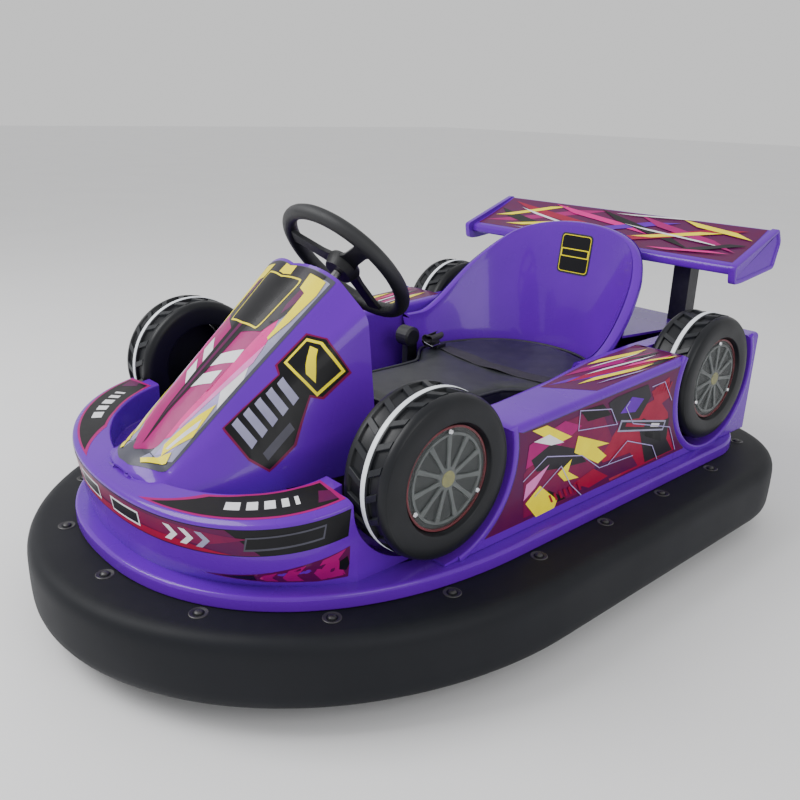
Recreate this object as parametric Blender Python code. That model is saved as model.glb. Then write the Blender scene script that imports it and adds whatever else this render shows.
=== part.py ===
"""Battery bumper car with a round rubber bumper, a kart-style body and dummy show tyres.

Metres, +Z up. The nose points to -Y, +X is the car's left side, and the ground is z = 0.
"""
import math

import bmesh
import bpy
from mathutils import Matrix, Vector

# ---- Driving dimensions -------------------------------------------------------------------
GAP = 0.0003                 # between two pieces that rest on each other
RUN_GAP = 0.0007             # round a shaft in its bearing

# Bumper and flange, as plan outlines: a rounded nose, straight sides and rounded rear corners
BUMPER_HALF = 0.640
BUMPER_FRONT = -0.918
BUMPER_REAR = 0.918
BUMPER_CORNER = 0.300
BUMPER_BOTTOM = 0.050
BUMPER_HEIGHT = 0.1497
BUMPER_WIDTH = 0.135
BUMPER_ROUND = 0.030
SHOULDER_Y = -0.150          # where the rounded nose meets the straight sides
FLANGE_INSET = 0.120         # of the flange's edge from the bumper's, at the sides
FLANGE_NOSE_INSET = 0.113
FLANGE_TAIL_INSET = 0.088
FLANGE_CORNER = 0.200
FLANGE_WIDTH = 0.070
FLANGE_THICK = 0.030
FLANGE_POWER = 2.3
RIM_WIDTH = 0.034            # of the flange's top that shows round the body

# Show tyres, which are fixed to the body
TYRE_HUB_Z = 0.412
FRONT_TYRE_Y = -0.352
REAR_TYRE_Y = 0.595
TYRE_R = 0.163
TYRE_WIDTH = 0.1215
TYRE_BACK_X = 0.3756
ARCH_GAP = 0.012
COVER_R = 0.1045
COVER_RECESS = 0.008
COVER_THICK = 0.006

# Nose
NOSE_REAR_Y = -0.505
NOSE_HALF = 0.436
NOSE_DEPTH = 0.283
NOSE_POWER = 2.2
NOSE_TOP_REAR = 0.405
NOSE_TOP_FRONT = 0.362
BAND_HEIGHT = 0.075
BAND_LEAN = 0.012
LEDGE_HALF = 0.325
LEDGE_DEPTH = 0.220
WELL_Z = 0.330               # floor of the channel between the hood and the ledge
BAY_HALF = 0.185             # opening over the drive unit, under the hood
BAY_DEPTH = 0.175
NOSE_WALL = 0.008
NOSE_TAIL_Y = -0.352         # where the nose moulding meets the side pods

# Hood, called the cowl: an arched top between two shoulders, and sides down to a wide foot
COWL_WALL = 0.005
COWL_TIP_Y = -0.750
COWL_REAR_Y = -0.300
COWL_TOP_HALF = 0.122
COWL_TOP_Z = 0.7185          # of the shoulders, carried on to the rear edge
COWL_WIDEN_POWER = 1.6
COWL_NOSE_HALF = 0.094
COWL_NOSE_Z = 0.380
COWL_NOSE_Y = -0.700
COWL_SHOULDER_HALF = 0.196
COWL_SHOULDER_DROP = 0.070
COWL_REAR_LEAN = 0.040       # how far the rear edge runs forward in the middle
COWL_FOOT_HALF = 0.224
COWL_NOSE_FOOT_HALF = 0.138
COWL_CROWN = 0.040
COWL_NOSE_CROWN = 0.030
COWL_TIP_LOW_Z = 0.3675      # underside of the tip, over the ledge

# Side pods
POD_OUT_X = 0.488
POD_STEP_X = 0.4495          # of the part that stands inside the flange
POD_STEP_FRONT_X = 0.429
POD_WELL_X = 0.350
POD_MOUTH_X = 0.366
POD_SEAT_X = 0.3283
POD_TOP_FRONT = 0.467
POD_TOP_REAR = 0.500
POD_TAIL_INSET = 0.030          # of its rear face from the flange's edge
POD_EDGE_ROUND = 0.008

# Seat shell, cushion and the box under it
SEAT_MOUTH_Y = 0.265
SEAT_RIM_HALF = 0.290
SEAT_RIM_BACK = 0.640
SEAT_RIM_POWER = 3.0
SEAT_BASE_HALF = 0.256
SEAT_BASE_BACK = 0.600
SEAT_BASE_POWER = 2.2
SEAT_WALL = 0.034
SEAT_FRONT_Z = 0.470
SEAT_CORNER_RISE = 0.216
SEAT_CENTRE_RISE = 0.054
CUSHION_TOP = 0.388
CUSHION_THICK = 0.062
CUSHION_FRONT_Y = -0.130
CUSHION_NOSE_HALF = 0.159
CUSHION_HALF = 0.252
CUSHION_BACK_Y = 0.594
CUSHION_NECK_Y = 0.190
SEAT_BOX_HALF = 0.152
SEAT_BOX_FRONT_Y = -0.112
SEAT_BOX_REAR_Y = 0.440
SEAT_BOX_WALL = 0.006
SEAT_BOARD = 0.012

# Rear deck and wing
DECK_TAIL_INSET = 0.040         # of its rear foot from the flange's edge
DECK_WALL = 0.006
DECK_GAP = 0.003
DECK_SPREAD = math.radians(64)
DECK_BEND = 0.62
WING_HALF = 0.446
WING_FRONT_Y = 0.677
WING_CHORD = 0.191
WING_FRONT_Z = 0.668
WING_RISE = 0.078
WING_THICK = 0.026
WING_TAPER = 0.3
END_PLATE = 0.018
# Corners of an end plate from the wing's front top edge, each with its radius
END_PLATE_CORNERS = (
    (-0.020, 0.006, 0.010),
    (-0.012, -0.041, 0.012),
    (0.024, -0.041, 0.010),
    (0.196, -0.021, 0.012),
    (0.216, 0.047, 0.010),
    (0.194, 0.085, 0.010),
)
POST_X = 0.280
POST_WIDTH = 0.050
POST_FRONT_Y = 0.735
POST_DEPTH = 0.045

# Chassis and running gear
TUBE = 0.030
UPPER_TUBE = 0.0222            # height of the tubes over the wheels
PAN_TOP = 0.134
PAN_THICK = 0.004
PAN_HALF = 0.440
PAN_FRONT_Y = -0.450
PAN_REAR_Y = 0.450
RAIL_X = 0.155
CROSS_YS = (-0.130, 0.150, 0.430)
ROAD_WHEEL_R = 0.090
ROAD_WHEEL_WIDTH = 0.046
ROAD_HUB_R = 0.055
AXLE_R = 0.008
PLATE = 0.006
DRIVE_Y = -0.640
PIVOT_R = 0.014
REAR_WHEEL_X = 0.300
REAR_WHEEL_Y = 0.610
TURNTABLE_Z = 0.1985
TURNTABLE_REACH = 0.055
TURNTABLE_THICK = 0.009

# Steering
WHEEL_CENTRE = Vector((0.0, -0.203, 0.711))
COLUMN_ANGLE = math.radians(40.7)
WHEEL_R = 0.153
WHEEL_TUBE_R = 0.017
SHAFT_R = 0.010
SHAFT_LENGTH = 0.500
SPOKE_ANGLES = (90, 210, 330)
SPOKE_WIDTH = 0.044
SPOKE_BACK = -0.011             # of a spoke behind and before the rim's plane
SPOKE_FACE = -0.001
HUB_BACK = -0.030
COLUMN_R = 0.022
COLUMN_LOW = 0.350              # below the steering wheel, along the axis
COLUMN_LENGTH = 0.190
WEB_Y = -0.415
WEB_HALF = 0.018
WEB_THICK = 0.012
BRIDGE_DEPTH = 0.040
BRIDGE_THICK = 0.008

# Pedal
PEDAL_X = -0.262
PEDAL_GAP_Y = 0.095             # of its pivot from the toe board
PEDAL_BASE_HALF = 0.035
PEDAL_TREAD_HALF = 0.030
PEDAL_TREAD_THICK = 0.008
PEDAL_LENGTH = 0.115
PEDAL_ANGLE = math.radians(28)

# Lap belt
BELT_Y = 0.300
BELT_WIDTH = 0.046
BELT_THICK = 0.0018
BELT_SAG = 0.030                # forward, in the middle of its run
BELT_STEPS = 14
BELT_END_X = 0.236
BUCKLE_X = -0.215
BUCKLE_BACK = 0.008
BUCKLE_FRONT = 0.036
BUCKLE_THICK = 0.014
REEL_Y = 0.215
REEL_RISE = 0.037               # of its axis over the cushion

# Drive and road wheels
ROAD_WHEEL_SIDE_GAP = 0.008
FORK_HALF = 0.028
CROWN_HALF = 0.045
CROWN_DROP = 0.0055             # of the fork's crown under the turntable
COLLAR_R = 0.024
MOTOR_R = 0.040
MOTOR_LENGTH = 0.066

FLANGE_HALF = BUMPER_HALF - FLANGE_INSET
FLANGE_FRONT = BUMPER_FRONT + FLANGE_NOSE_INSET
FLANGE_REAR = BUMPER_REAR - FLANGE_TAIL_INSET
POD_REAR_Y = FLANGE_REAR - POD_TAIL_INSET
DECK_REAR_Y = FLANGE_REAR - DECK_TAIL_INSET
BUMPER_TOP = BUMPER_BOTTOM + BUMPER_HEIGHT
FLANGE_BOTTOM = BUMPER_TOP + GAP
FLANGE_TOP = FLANGE_BOTTOM + FLANGE_THICK
BODY_FOOT_Z = FLANGE_TOP + GAP
FLOOR_Z = PAN_TOP + GAP
FRAME_TOP = PAN_TOP - PAN_THICK - GAP
FRAME_BOTTOM = FRAME_TOP - TUBE
UPPER_FRAME_BOTTOM = TURNTABLE_Z + TURNTABLE_THICK + GAP
UPPER_FRAME_TOP = UPPER_FRAME_BOTTOM + UPPER_TUBE
ARCH_R = TYRE_R + ARCH_GAP
COLUMN_AXIS = Vector((0.0, math.cos(COLUMN_ANGLE), math.sin(COLUMN_ANGLE)))
SIDES = (("left", 1), ("right", -1))


# ---- Helpers ------------------------------------------------------------------------------
def clear_scene():
    for item in list(bpy.data.objects):
        bpy.data.objects.remove(item, do_unlink=True)


def make_material(name, colour, roughness, metallic=0.0):
    material = bpy.data.materials.new(name)
    material.use_nodes = True
    shader = material.node_tree.nodes["Principled BSDF"]
    shader.inputs["Base Color"].default_value = (*colour, 1.0)
    shader.inputs["Roughness"].default_value = roughness
    shader.inputs["Metallic"].default_value = metallic
    return material


def make_object(name, points, faces, material, smooth=35.0):
    """A mesh object with its faces turned outwards."""
    mesh = bpy.data.meshes.new(name)
    mesh.from_pydata([tuple(point) for point in points], [], faces)
    shape = bmesh.new()
    shape.from_mesh(mesh)
    bmesh.ops.remove_doubles(shape, verts=shape.verts, dist=1e-6)
    bmesh.ops.recalc_face_normals(shape, faces=shape.faces)
    shape.to_mesh(mesh)
    shape.free()
    mesh.shade_smooth()
    mesh.set_sharp_from_angle(angle=math.radians(smooth))
    item = bpy.data.objects.new(name, mesh)
    bpy.context.scene.collection.objects.link(item)
    if material:
        mesh.materials.append(material)
    return item


def loft(name, loops, material, ring=False):
    """Joins equal closed loops into one solid, with flat ends unless the loops form a ring."""
    size = len(loops[0])
    points = [point for loop in loops for point in loop]
    faces = []
    for row in range(len(loops) if ring else len(loops) - 1):
        start, after = row * size, (row + 1) % len(loops) * size
        for i in range(size):
            j = (i + 1) % size
            faces.append((start + i, start + j, after + j, after + i))
    if not ring:
        faces.append(tuple(range(size)))
        faces.append(tuple(range(len(points) - size, len(points))))
    return make_object(name, points, faces, material)


def box(name, low, high, material):
    """A box between two corners."""
    corners = ((low[0], low[1]), (high[0], low[1]), (high[0], high[1]), (low[0], high[1]))
    loops = [[(x, y, z) for x, y in corners] for z in (low[2], high[2])]
    return loft(name, loops, material)


def turned(name, profile, material, segments=28):
    """Turns (distance along X, radius) pairs about the X axis. The profile ends on the axis."""
    loops = [
        [
            (along, radius * math.cos(math.tau * i / segments), radius * math.sin(math.tau * i / segments))
            for i in range(segments)
        ]
        for along, radius in profile
    ]
    return loft(name, loops, material)


def aim(item, place, axis):
    """Puts an object's own X axis along axis, through place."""
    item.rotation_euler = Vector(axis).to_track_quat("X", "Z").to_euler()
    item.location = place
    return item


def rounded(corners, steps=3):
    """A closed outline from (u, v, radius) corners, with an arc at each corner that has a radius."""
    outline = []
    for i, (u, v, radius) in enumerate(corners):
        here = Vector((u, v))
        if radius == 0:
            outline.append((u, v))
            continue
        before = (Vector(corners[i - 1][:2]) - here).normalized()
        after = (Vector(corners[(i + 1) % len(corners)][:2]) - here).normalized()
        half = before.angle(after) / 2
        reach = radius / math.tan(half)
        centre = here + (before + after).normalized() * radius / math.sin(half)
        first, last = here + before * reach - centre, here + after * reach - centre
        for step in range(steps + 1):
            spoke = first.lerp(last, step / steps).normalized() * radius
            outline.append((centre.x + spoke.x, centre.y + spoke.y))
    return outline


def nose_curve(half, depth, power, y, count, ends_at=None):
    """Points of a rounded nose from its right end to its left end, y being the line of its widest part."""
    limit = math.pi / 2
    if ends_at is not None:
        limit = math.acos(((y - ends_at) / depth) ** (power / 2))
    points = []
    for i in range(count):
        angle = -limit + 2 * limit * i / (count - 1)
        across = math.copysign(abs(math.sin(angle)) ** (2 / power), angle)
        points.append((half * across, y - depth * abs(math.cos(angle)) ** (2 / power)))
    return points


def plan_outline(half, front, rear, corner, power, nose_count=25, corner_steps=4, side_steps=3):
    """The closed plan of the bumper or flange, anticlockwise seen from above, starting on the right."""
    outline = nose_curve(half, SHOULDER_Y - front, power, SHOULDER_Y, nose_count)
    centre_x, centre_y = half - corner, rear - corner
    side = [
        (half, SHOULDER_Y + (centre_y - SHOULDER_Y) * i / side_steps) for i in range(1, side_steps)
    ]
    arc = [
        (
            centre_x + corner * math.cos(math.pi / 2 * i / corner_steps),
            centre_y + corner * math.sin(math.pi / 2 * i / corner_steps),
        )
        for i in range(corner_steps + 1)
    ]
    left = side + arc
    return outline + left + [(-x, y) for x, y in reversed(left)]


def inset_point(outline, i, inset):
    """Point i of a closed anticlockwise outline, moved inwards."""
    before, after = Vector(outline[i - 1]), Vector(outline[(i + 1) % len(outline)])
    along = (after - before).normalized()
    here = Vector(outline[i])
    return here.x - along.y * inset, here.y + along.x * inset


def sweep_section(name, outline, section, material):
    """Carries a section of (inset, z) points round a closed outline."""
    loops = []
    for i in range(len(outline)):
        loops.append([(*inset_point(outline, i, inset), z) for inset, z in section])
    return loft(name, loops, material, ring=True)


def boolean(item, other, operation):
    modifier = item.modifiers.new(operation.title() + other.name, "BOOLEAN")
    modifier.operation = operation
    modifier.object = other
    other.hide_render = True
    other.display_type = "WIRE"


def cut(item, *cutters):
    for cutter in cutters:
        boolean(item, cutter, "DIFFERENCE")


def join(item, *others):
    for other in others:
        boolean(item, other, "UNION")


def smooth_step(value):
    value = min(max(value, 0.0), 1.0)
    return value * value * (3 - 2 * value)


def between(value, table):
    """Straight-line reading of a table of (value, result) pairs."""
    for (low, first), (high, last) in zip(table, table[1:]):
        if value <= high:
            return first + (last - first) * (value - low) / (high - low)
    return table[-1][1]


# ---- Materials ----------------------------------------------------------------------------
def make_materials():
    return {
        "gelcoat": make_material("gelcoat", (0.165, 0.010, 0.520), 0.22),
        "bumper_rubber": make_material("bumper_rubber", (0.035, 0.038, 0.045), 0.55),
        "black_plastic": make_material("black_plastic", (0.020, 0.022, 0.026), 0.45),
        "clear_cover": make_material("clear_cover", (0.250, 0.270, 0.260), 0.12),
        "vinyl": make_material("vinyl", (0.030, 0.033, 0.038), 0.50),
        "webbing": make_material("webbing", (0.030, 0.028, 0.036), 0.80),
        "foam": make_material("foam", (0.022, 0.024, 0.027), 0.70),
        "black_steel": make_material("black_steel", (0.030, 0.030, 0.034), 0.40, 0.6),
        "bare_steel": make_material("bare_steel", (0.550, 0.550, 0.560), 0.35, 1.0),
        "road_rubber": make_material("road_rubber", (0.030, 0.030, 0.030), 0.75),
        "battery_case": make_material("battery_case", (0.060, 0.065, 0.075), 0.50),
    }


# ---- Bumper and flange --------------------------------------------------------------------
def make_bumper(paint):
    outline = plan_outline(BUMPER_HALF, BUMPER_FRONT, BUMPER_REAR, BUMPER_CORNER, 2.0)
    section = rounded(
        [
            (0.0, BUMPER_BOTTOM, BUMPER_ROUND),
            (0.0, BUMPER_TOP, BUMPER_ROUND),
            (BUMPER_WIDTH, BUMPER_TOP, 0),
            (BUMPER_WIDTH, BUMPER_BOTTOM, 0),
        ]
    )
    sweep_section("bumper_ring", outline, section, paint["bumper_rubber"])


def flange_outline():
    return plan_outline(FLANGE_HALF, FLANGE_FRONT, FLANGE_REAR, FLANGE_CORNER, FLANGE_POWER)


def make_base_shell(paint):
    section = rounded(
        [
            (0.0, FLANGE_BOTTOM, 0),
            (0.0, FLANGE_TOP, 0.006),
            (FLANGE_WIDTH, FLANGE_TOP, 0),
            (FLANGE_WIDTH, FLANGE_BOTTOM, 0),
        ],
        steps=2,
    )
    sweep_section("base_shell", flange_outline(), section, paint["gelcoat"])


# ---- Nose ---------------------------------------------------------------------------------
def arch_cutter(name, y, side):
    """A round bar that opens the body round one show tyre."""
    reach = TYRE_WIDTH + FLANGE_INSET
    bar = turned(name, [(0.0, ARCH_R), (reach, ARCH_R)], None, segments=40)
    return aim(bar, (side * (TYRE_BACK_X - GAP), y, TYRE_HUB_Z), (side, 0, 0))


def nose_top(y):
    """Height of the ledge round the hood, which falls towards the front."""
    share = (y - NOSE_REAR_Y) / -NOSE_DEPTH
    return NOSE_TOP_REAR + (NOSE_TOP_FRONT - NOSE_TOP_REAR) * min(max(share, 0.0), 1.0)


def lowered(loop):
    """A section of the nose with everything over the well's floor cut off."""
    edge_x = loop[3][0]
    return [
        (edge_x if 2 <= i <= 4 else x, y, min(z, WELL_Z)) for i, (x, y, z) in enumerate(loop)
    ]


def tail_of(loop, side):
    return [tail_point(point, side, i) for i, point in enumerate(loop)]


def make_nose(paint):
    count = 25
    foot_half = FLANGE_HALF - RIM_WIDTH
    foot_depth = SHOULDER_Y - FLANGE_FRONT - RIM_WIDTH
    feet = nose_curve(foot_half, foot_depth, FLANGE_POWER, SHOULDER_Y, count, NOSE_REAR_Y)
    edges = nose_curve(NOSE_HALF, NOSE_DEPTH, NOSE_POWER, NOSE_REAR_Y, count)
    bands = nose_curve(
        NOSE_HALF - BAND_LEAN, NOSE_DEPTH - BAND_LEAN, NOSE_POWER, NOSE_REAR_Y, count
    )
    ledges = nose_curve(LEDGE_HALF, LEDGE_DEPTH, 2.0, NOSE_REAR_Y, count)
    bays = nose_curve(BAY_HALF, BAY_DEPTH, 2.0, NOSE_REAR_Y, count)
    loops = []
    for foot, band, edge, ledge, bay in zip(feet, bands, edges, ledges, bays):
        loops.append(nose_section(foot, band, edge, ledge, bay))
    first, last = lowered(loops[0]), lowered(loops[-1])
    loops = [tail_of(first, -1), first, *loops, last, tail_of(last, 1)]
    nose = loft("nose_shell", loops, paint["gelcoat"])
    for name, side in SIDES:
        cut(nose, arch_cutter(f"nose_arch_cutter_{name}", FRONT_TYRE_Y, side))
    cut(nose, make_nose_hollow(feet, bands, edges, ledges, bays))


def make_nose_hollow(feet, bands, edges, ledges, bays):
    """The open space inside the nose moulding, clear of the show tyres' arches."""
    loops = []
    for i in range(3, len(feet) - 3):
        foot, band, edge = feet[i], bands[i], edges[i]
        top, wall = nose_top(edge[1]), NOSE_WALL
        foot_in = toward(foot, bays[i], wall * 2)
        band_in = toward(band, bays[i], wall * 1.5)
        edge_in = toward(edge, bays[i], wall * 2)
        ledge_out = toward(ledges[i], edge, wall)
        bay_out = toward(bays[i], foot, wall * 1.1)
        loops.append(
            [
                (*foot_in, BODY_FOOT_Z - wall),
                (*band_in, top - BAND_HEIGHT),
                (*edge_in, top - wall * 1.5),
                (*ledge_out, top - wall),
                (*ledge_out, WELL_Z - wall),
                (*bay_out, WELL_Z - wall),
                (*bay_out, BODY_FOOT_Z - wall),
            ]
        )
    return loft("nose_hollow", loops, None)


def toward(start, end, distance):
    """The plan point that far from start on the way to end."""
    moved = Vector(start) + (Vector(end) - Vector(start)).normalized() * distance
    return moved.x, moved.y


def part_way(a, b, share):
    """The plan point at that share of the way from a to b."""
    return a[0] + (b[0] - a[0]) * share, a[1] + (b[1] - a[1]) * share


def nose_section(foot, band, edge, ledge, bay):
    """The nose's wall at one station: foot, concave waist, sticker band, ledge, inner wall, floor."""
    top = nose_top(edge[1])
    band_z = top - BAND_HEIGHT
    waist_z = (band_z + BODY_FOOT_Z) / 2
    waist = part_way(foot, band, 0.75)
    lip = part_way(band, edge, 0.9)
    crest = part_way(edge, ledge, 0.08)
    return [
        (*foot, BODY_FOOT_Z),
        (*waist, waist_z),
        (*band, band_z),
        (*lip, top - BAND_HEIGHT * 0.12),
        (*crest, top),
        (*ledge, top),
        (*ledge, WELL_Z),
        (*bay, WELL_Z),
        (*bay, BODY_FOOT_Z),
    ]


def tail_point(point, side, i):
    """A point of the nose's last section carried straight back under the show tyre."""
    x, _, z = point
    if i <= 4:
        x = side * (FLANGE_HALF - RIM_WIDTH) * (1.0 - 0.03 * (i > 0))
    return x, NOSE_TAIL_Y, z


# ---- Hood ---------------------------------------------------------------------------------
def cowl_station(y):
    """Half width and height of the shoulders, and half width and height of the foot, at y."""
    share = (COWL_NOSE_Y - y) / (COWL_NOSE_Y - COWL_REAR_Y)
    if y >= COWL_NOSE_Y:
        half = COWL_NOSE_HALF + (COWL_TOP_HALF - COWL_NOSE_HALF) * share ** COWL_WIDEN_POWER
        height = COWL_NOSE_Z + (COWL_TOP_Z - COWL_NOSE_Z) * share
        foot = COWL_NOSE_FOOT_HALF + (COWL_FOOT_HALF - COWL_NOSE_FOOT_HALF) * math.sin(
            math.pi / 2 * share
        )
        return half, height, foot, WELL_Z + GAP
    past = (COWL_NOSE_Y - y) / (COWL_NOSE_Y - COWL_TIP_Y)
    taper = math.sqrt(max(1.0 - past * past, 0.04))
    height = COWL_NOSE_Z - 0.004 * past
    return COWL_NOSE_HALF * taper, height, COWL_NOSE_FOOT_HALF * 0.8 * taper, COWL_TIP_LOW_Z


def cowl_crown(y):
    """How far the middle of the hood's top stands above its shoulders."""
    if y >= COWL_NOSE_Y:
        rise = min((y - COWL_NOSE_Y) / 0.060, 1.0)
        return COWL_NOSE_CROWN + (COWL_CROWN - COWL_NOSE_CROWN) * rise
    past = (COWL_NOSE_Y - y) / (COWL_NOSE_Y - COWL_TIP_Y)
    return COWL_NOSE_CROWN * max(1.0 - past * past, 0.04)


def cowl_section(y, inset):
    """The hood's outline across the car at y, moved inwards by inset."""
    half, height, foot, low = cowl_station(y)
    crown = cowl_crown(y)
    share = min(max((y - COWL_NOSE_Y) / (COWL_REAR_Y - COWL_NOSE_Y), 0.0), 1.0)
    shoulder = half + (COWL_SHOULDER_HALF - COWL_TOP_HALF) * share + 0.008 * (1 - share)
    drop = min(COWL_SHOULDER_DROP * share + 0.004, (height - low) * 0.5)
    left = [(half * part, height + crown * (1 - part * part)) for part in (0.4, 0.75, 1.0)]
    left += [
        (shoulder, height - drop),
        (foot, low + (height - drop - low) * 0.30),
        (foot, low),
    ]
    moved = []
    for x, z in [(0.0, height + crown)] + left:
        moved.append((max(x - inset, 0.0), z - inset if z > low + inset else z))
    right = [(-x, z) for x, z in reversed(moved[1:])]
    slope = (COWL_TOP_Z - COWL_NOSE_Z) / (COWL_REAR_Y - COWL_NOSE_Y)
    section = []
    for x, z in right + moved:
        back = COWL_REAR_LEAN * share ** 2 * max(1.0 - abs(x) / (shoulder - inset), 0.0)
        section.append((x, y - back, z - slope * back))
    return section


def make_cowl(paint):
    steps = 9
    span = COWL_REAR_Y - COWL_NOSE_Y
    stations = [COWL_NOSE_Y + span * i / steps for i in range(steps + 1)]
    tips = [COWL_NOSE_Y + (COWL_TIP_Y - COWL_NOSE_Y) * share for share in (1.0, 0.92, 0.75, 0.4, 0.04)]
    outer = loft("cowl_shell", [cowl_section(y, 0.0) for y in tips + stations], paint["gelcoat"])
    inner = [cowl_section(y, COWL_WALL) for y in stations]
    # The inner block runs out through the open rear and the open underside.
    reach = [(x, y, z - COWL_WALL if z <= WELL_Z + COWL_WALL else z) for x, y, z in inner[-1]]
    inner = [
        [(x, y, z - COWL_WALL if z <= WELL_Z + COWL_WALL else z) for x, y, z in loop]
        for loop in inner
    ]
    inner.append([(x, y + span, z) for x, y, z in reach])
    hollow = loft("cowl_hollow", inner, None)
    cut(outer, hollow)


# ---- Side pods ----------------------------------------------------------------------------
def pod_top(y):
    return between(
        y,
        [
            (NOSE_TAIL_Y, NOSE_TOP_REAR - 0.005),
            (-0.250, NOSE_TOP_REAR),
            (-0.186, POD_TOP_FRONT),
            (0.430, POD_TOP_REAR - 0.003),
            (POD_REAR_Y, POD_TOP_REAR),
        ],
    )


def pod_inner_x(y):
    return between(
        y,
        [
            (NOSE_TAIL_Y, POD_WELL_X),
            (-0.186, POD_MOUTH_X - 0.002),
            (-0.100, POD_MOUTH_X),
            (0.080, POD_MOUTH_X - 0.010),
            (SEAT_MOUTH_Y, POD_SEAT_X),
            (POD_REAR_Y, POD_SEAT_X),
        ],
    )


def make_pod(name, side, paint):
    floor_end = PAN_REAR_Y - 0.010
    stations = [
        (NOSE_TAIL_Y + GAP * 2, FLOOR_Z),
        (-0.250, FLOOR_Z),
        (-0.186, FLOOR_Z),
        (-0.100, FLOOR_Z),
        (0.080, FLOOR_Z),
        (SEAT_MOUTH_Y, FLOOR_Z),
        (floor_end, FLOOR_Z),
        (floor_end + 0.001, BODY_FOOT_Z),
        (0.600, BODY_FOOT_Z),
        (POD_REAR_Y, BODY_FOOT_Z),
    ]
    loops = []
    for y, floor in stations:
        top, inner = pod_top(y), pod_inner_x(y)
        step = between(y, [(NOSE_TAIL_Y, POD_STEP_FRONT_X), (SHOULDER_Y, POD_STEP_X)])
        section = rounded(
            [
                (inner, floor, 0),
                (inner, top, 0),
                (POD_OUT_X, top, POD_EDGE_ROUND),
                (POD_OUT_X, BODY_FOOT_Z, 0),
                (step, BODY_FOOT_Z, 0),
                (step, floor, 0),
            ],
            steps=2,
        )
        loops.append([(side * x, y, z) for x, z in section])
    pod = loft(f"side_pod_{name}", loops, paint["gelcoat"])
    for end, y in (("front", FRONT_TYRE_Y), ("rear", REAR_TYRE_Y)):
        cut(pod, arch_cutter(f"pod_{end}_arch_cutter_{name}", y, side))


# ---- Seat ---------------------------------------------------------------------------------
def seat_curve(half, back, power, angle):
    across = math.copysign(abs(math.sin(angle)) ** (2 / power), angle)
    depth = back - SEAT_MOUTH_Y
    return half * across, SEAT_MOUTH_Y + depth * abs(math.cos(angle)) ** (2 / power)


def seat_rim_z(x, y):
    rise = smooth_step((y - 0.310) / (SEAT_RIM_BACK - 0.310))
    crown = max(1.0 - (x / SEAT_BASE_HALF) ** 2, 0.0) * smooth_step((y - 0.500) / 0.100)
    return SEAT_FRONT_Z + SEAT_CORNER_RISE * rise + SEAT_CENTRE_RISE * crown


def seat_wall_point(angle, z, outset):
    """A point on the seat's inner face at height z, moved outwards by outset."""
    base = Vector(seat_curve(SEAT_BASE_HALF, SEAT_BASE_BACK, SEAT_BASE_POWER, angle))
    rim = Vector(seat_curve(SEAT_RIM_HALF, SEAT_RIM_BACK, SEAT_RIM_POWER, angle))
    top = seat_rim_z(rim.x, rim.y)
    share = min(max((z - CUSHION_TOP) / (top - CUSHION_TOP), 0.0), 1.0)
    here = base.lerp(rim, share)
    step = 0.02
    before = max(angle - step, -math.pi / 2)
    after = min(angle + step, math.pi / 2)
    ahead = Vector(seat_curve(SEAT_RIM_HALF, SEAT_RIM_BACK, SEAT_RIM_POWER, after))
    behind = Vector(seat_curve(SEAT_RIM_HALF, SEAT_RIM_BACK, SEAT_RIM_POWER, before))
    along = (ahead - behind).normalized()
    return here.x - along.y * outset, here.y + along.x * outset


def seat_angles(count):
    """Angles bunched towards the ends, where the curve is nearly straight in plan."""
    return [math.pi / 2 * math.sin(math.pi / 2 * (2 * i / (count - 1) - 1)) for i in range(count)]


def seat_floor(y):
    """The shell stands on the floor pan, and on the rear frame behind it."""
    return FLOOR_Z if y < PAN_REAR_Y - SEAT_WALL - 0.010 else UPPER_FRAME_TOP + GAP


def make_seat_shell(paint):
    loops = []
    for angle in seat_angles(27):
        rim_x, rim_y = seat_curve(SEAT_RIM_HALF, SEAT_RIM_BACK, SEAT_RIM_POWER, angle)
        top = seat_rim_z(rim_x, rim_y)
        low = seat_floor(rim_y)
        round_over = SEAT_WALL * 0.30
        loop = []
        for outset, z in (
            (0.0, low),
            (0.0, CUSHION_TOP),
            (0.0, top - round_over),
            (round_over * 0.3, top - round_over * 0.3),
            (round_over, top),
            (SEAT_WALL - round_over, top),
            (SEAT_WALL - round_over * 0.3, top - round_over * 0.3),
            (SEAT_WALL, top - round_over),
            (SEAT_WALL, CUSHION_TOP),
            (SEAT_WALL, low),
        ):
            x, y = seat_wall_point(angle, z, outset)
            loop.append((x, y, z))
        loops.append(loop)
    loft("seat_shell", loops, paint["gelcoat"])


def cushion_outline(inset):
    """Plan of the cushion: a straight nose between the legs and a round back."""
    nose = CUSHION_NOSE_HALF - inset
    half = CUSHION_HALF - inset
    corner = 0.045
    left = [(nose - corner, CUSHION_FRONT_Y + inset)]
    left += [
        (
            nose - corner + corner * math.sin(math.pi / 2 * i / 3),
            CUSHION_FRONT_Y + inset + corner - corner * math.cos(math.pi / 2 * i / 3),
        )
        for i in range(1, 4)
    ]
    left += [(nose, CUSHION_NECK_Y - 0.080)]
    for share in (0.25, 0.5, 0.75, 1.0):
        y = CUSHION_NECK_Y - 0.040 + (SEAT_MOUTH_Y - CUSHION_NECK_Y + 0.060) * share
        left.append((nose + (half - nose) * smooth_step(share), y))
    start = left[-1][1]
    depth = CUSHION_BACK_Y - inset - start
    for i in range(1, 9):
        angle = math.pi / 2 * (1 - i / 8)
        left.append(
            (
                half * math.sin(angle) ** (2 / SEAT_BASE_POWER) if i < 8 else 0.0,
                start + depth * math.cos(angle) ** (2 / SEAT_BASE_POWER),
            )
        )
    return left[:-1] + [left[-1]] + [(-x, y) for x, y in reversed(left[:-1])]


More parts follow.
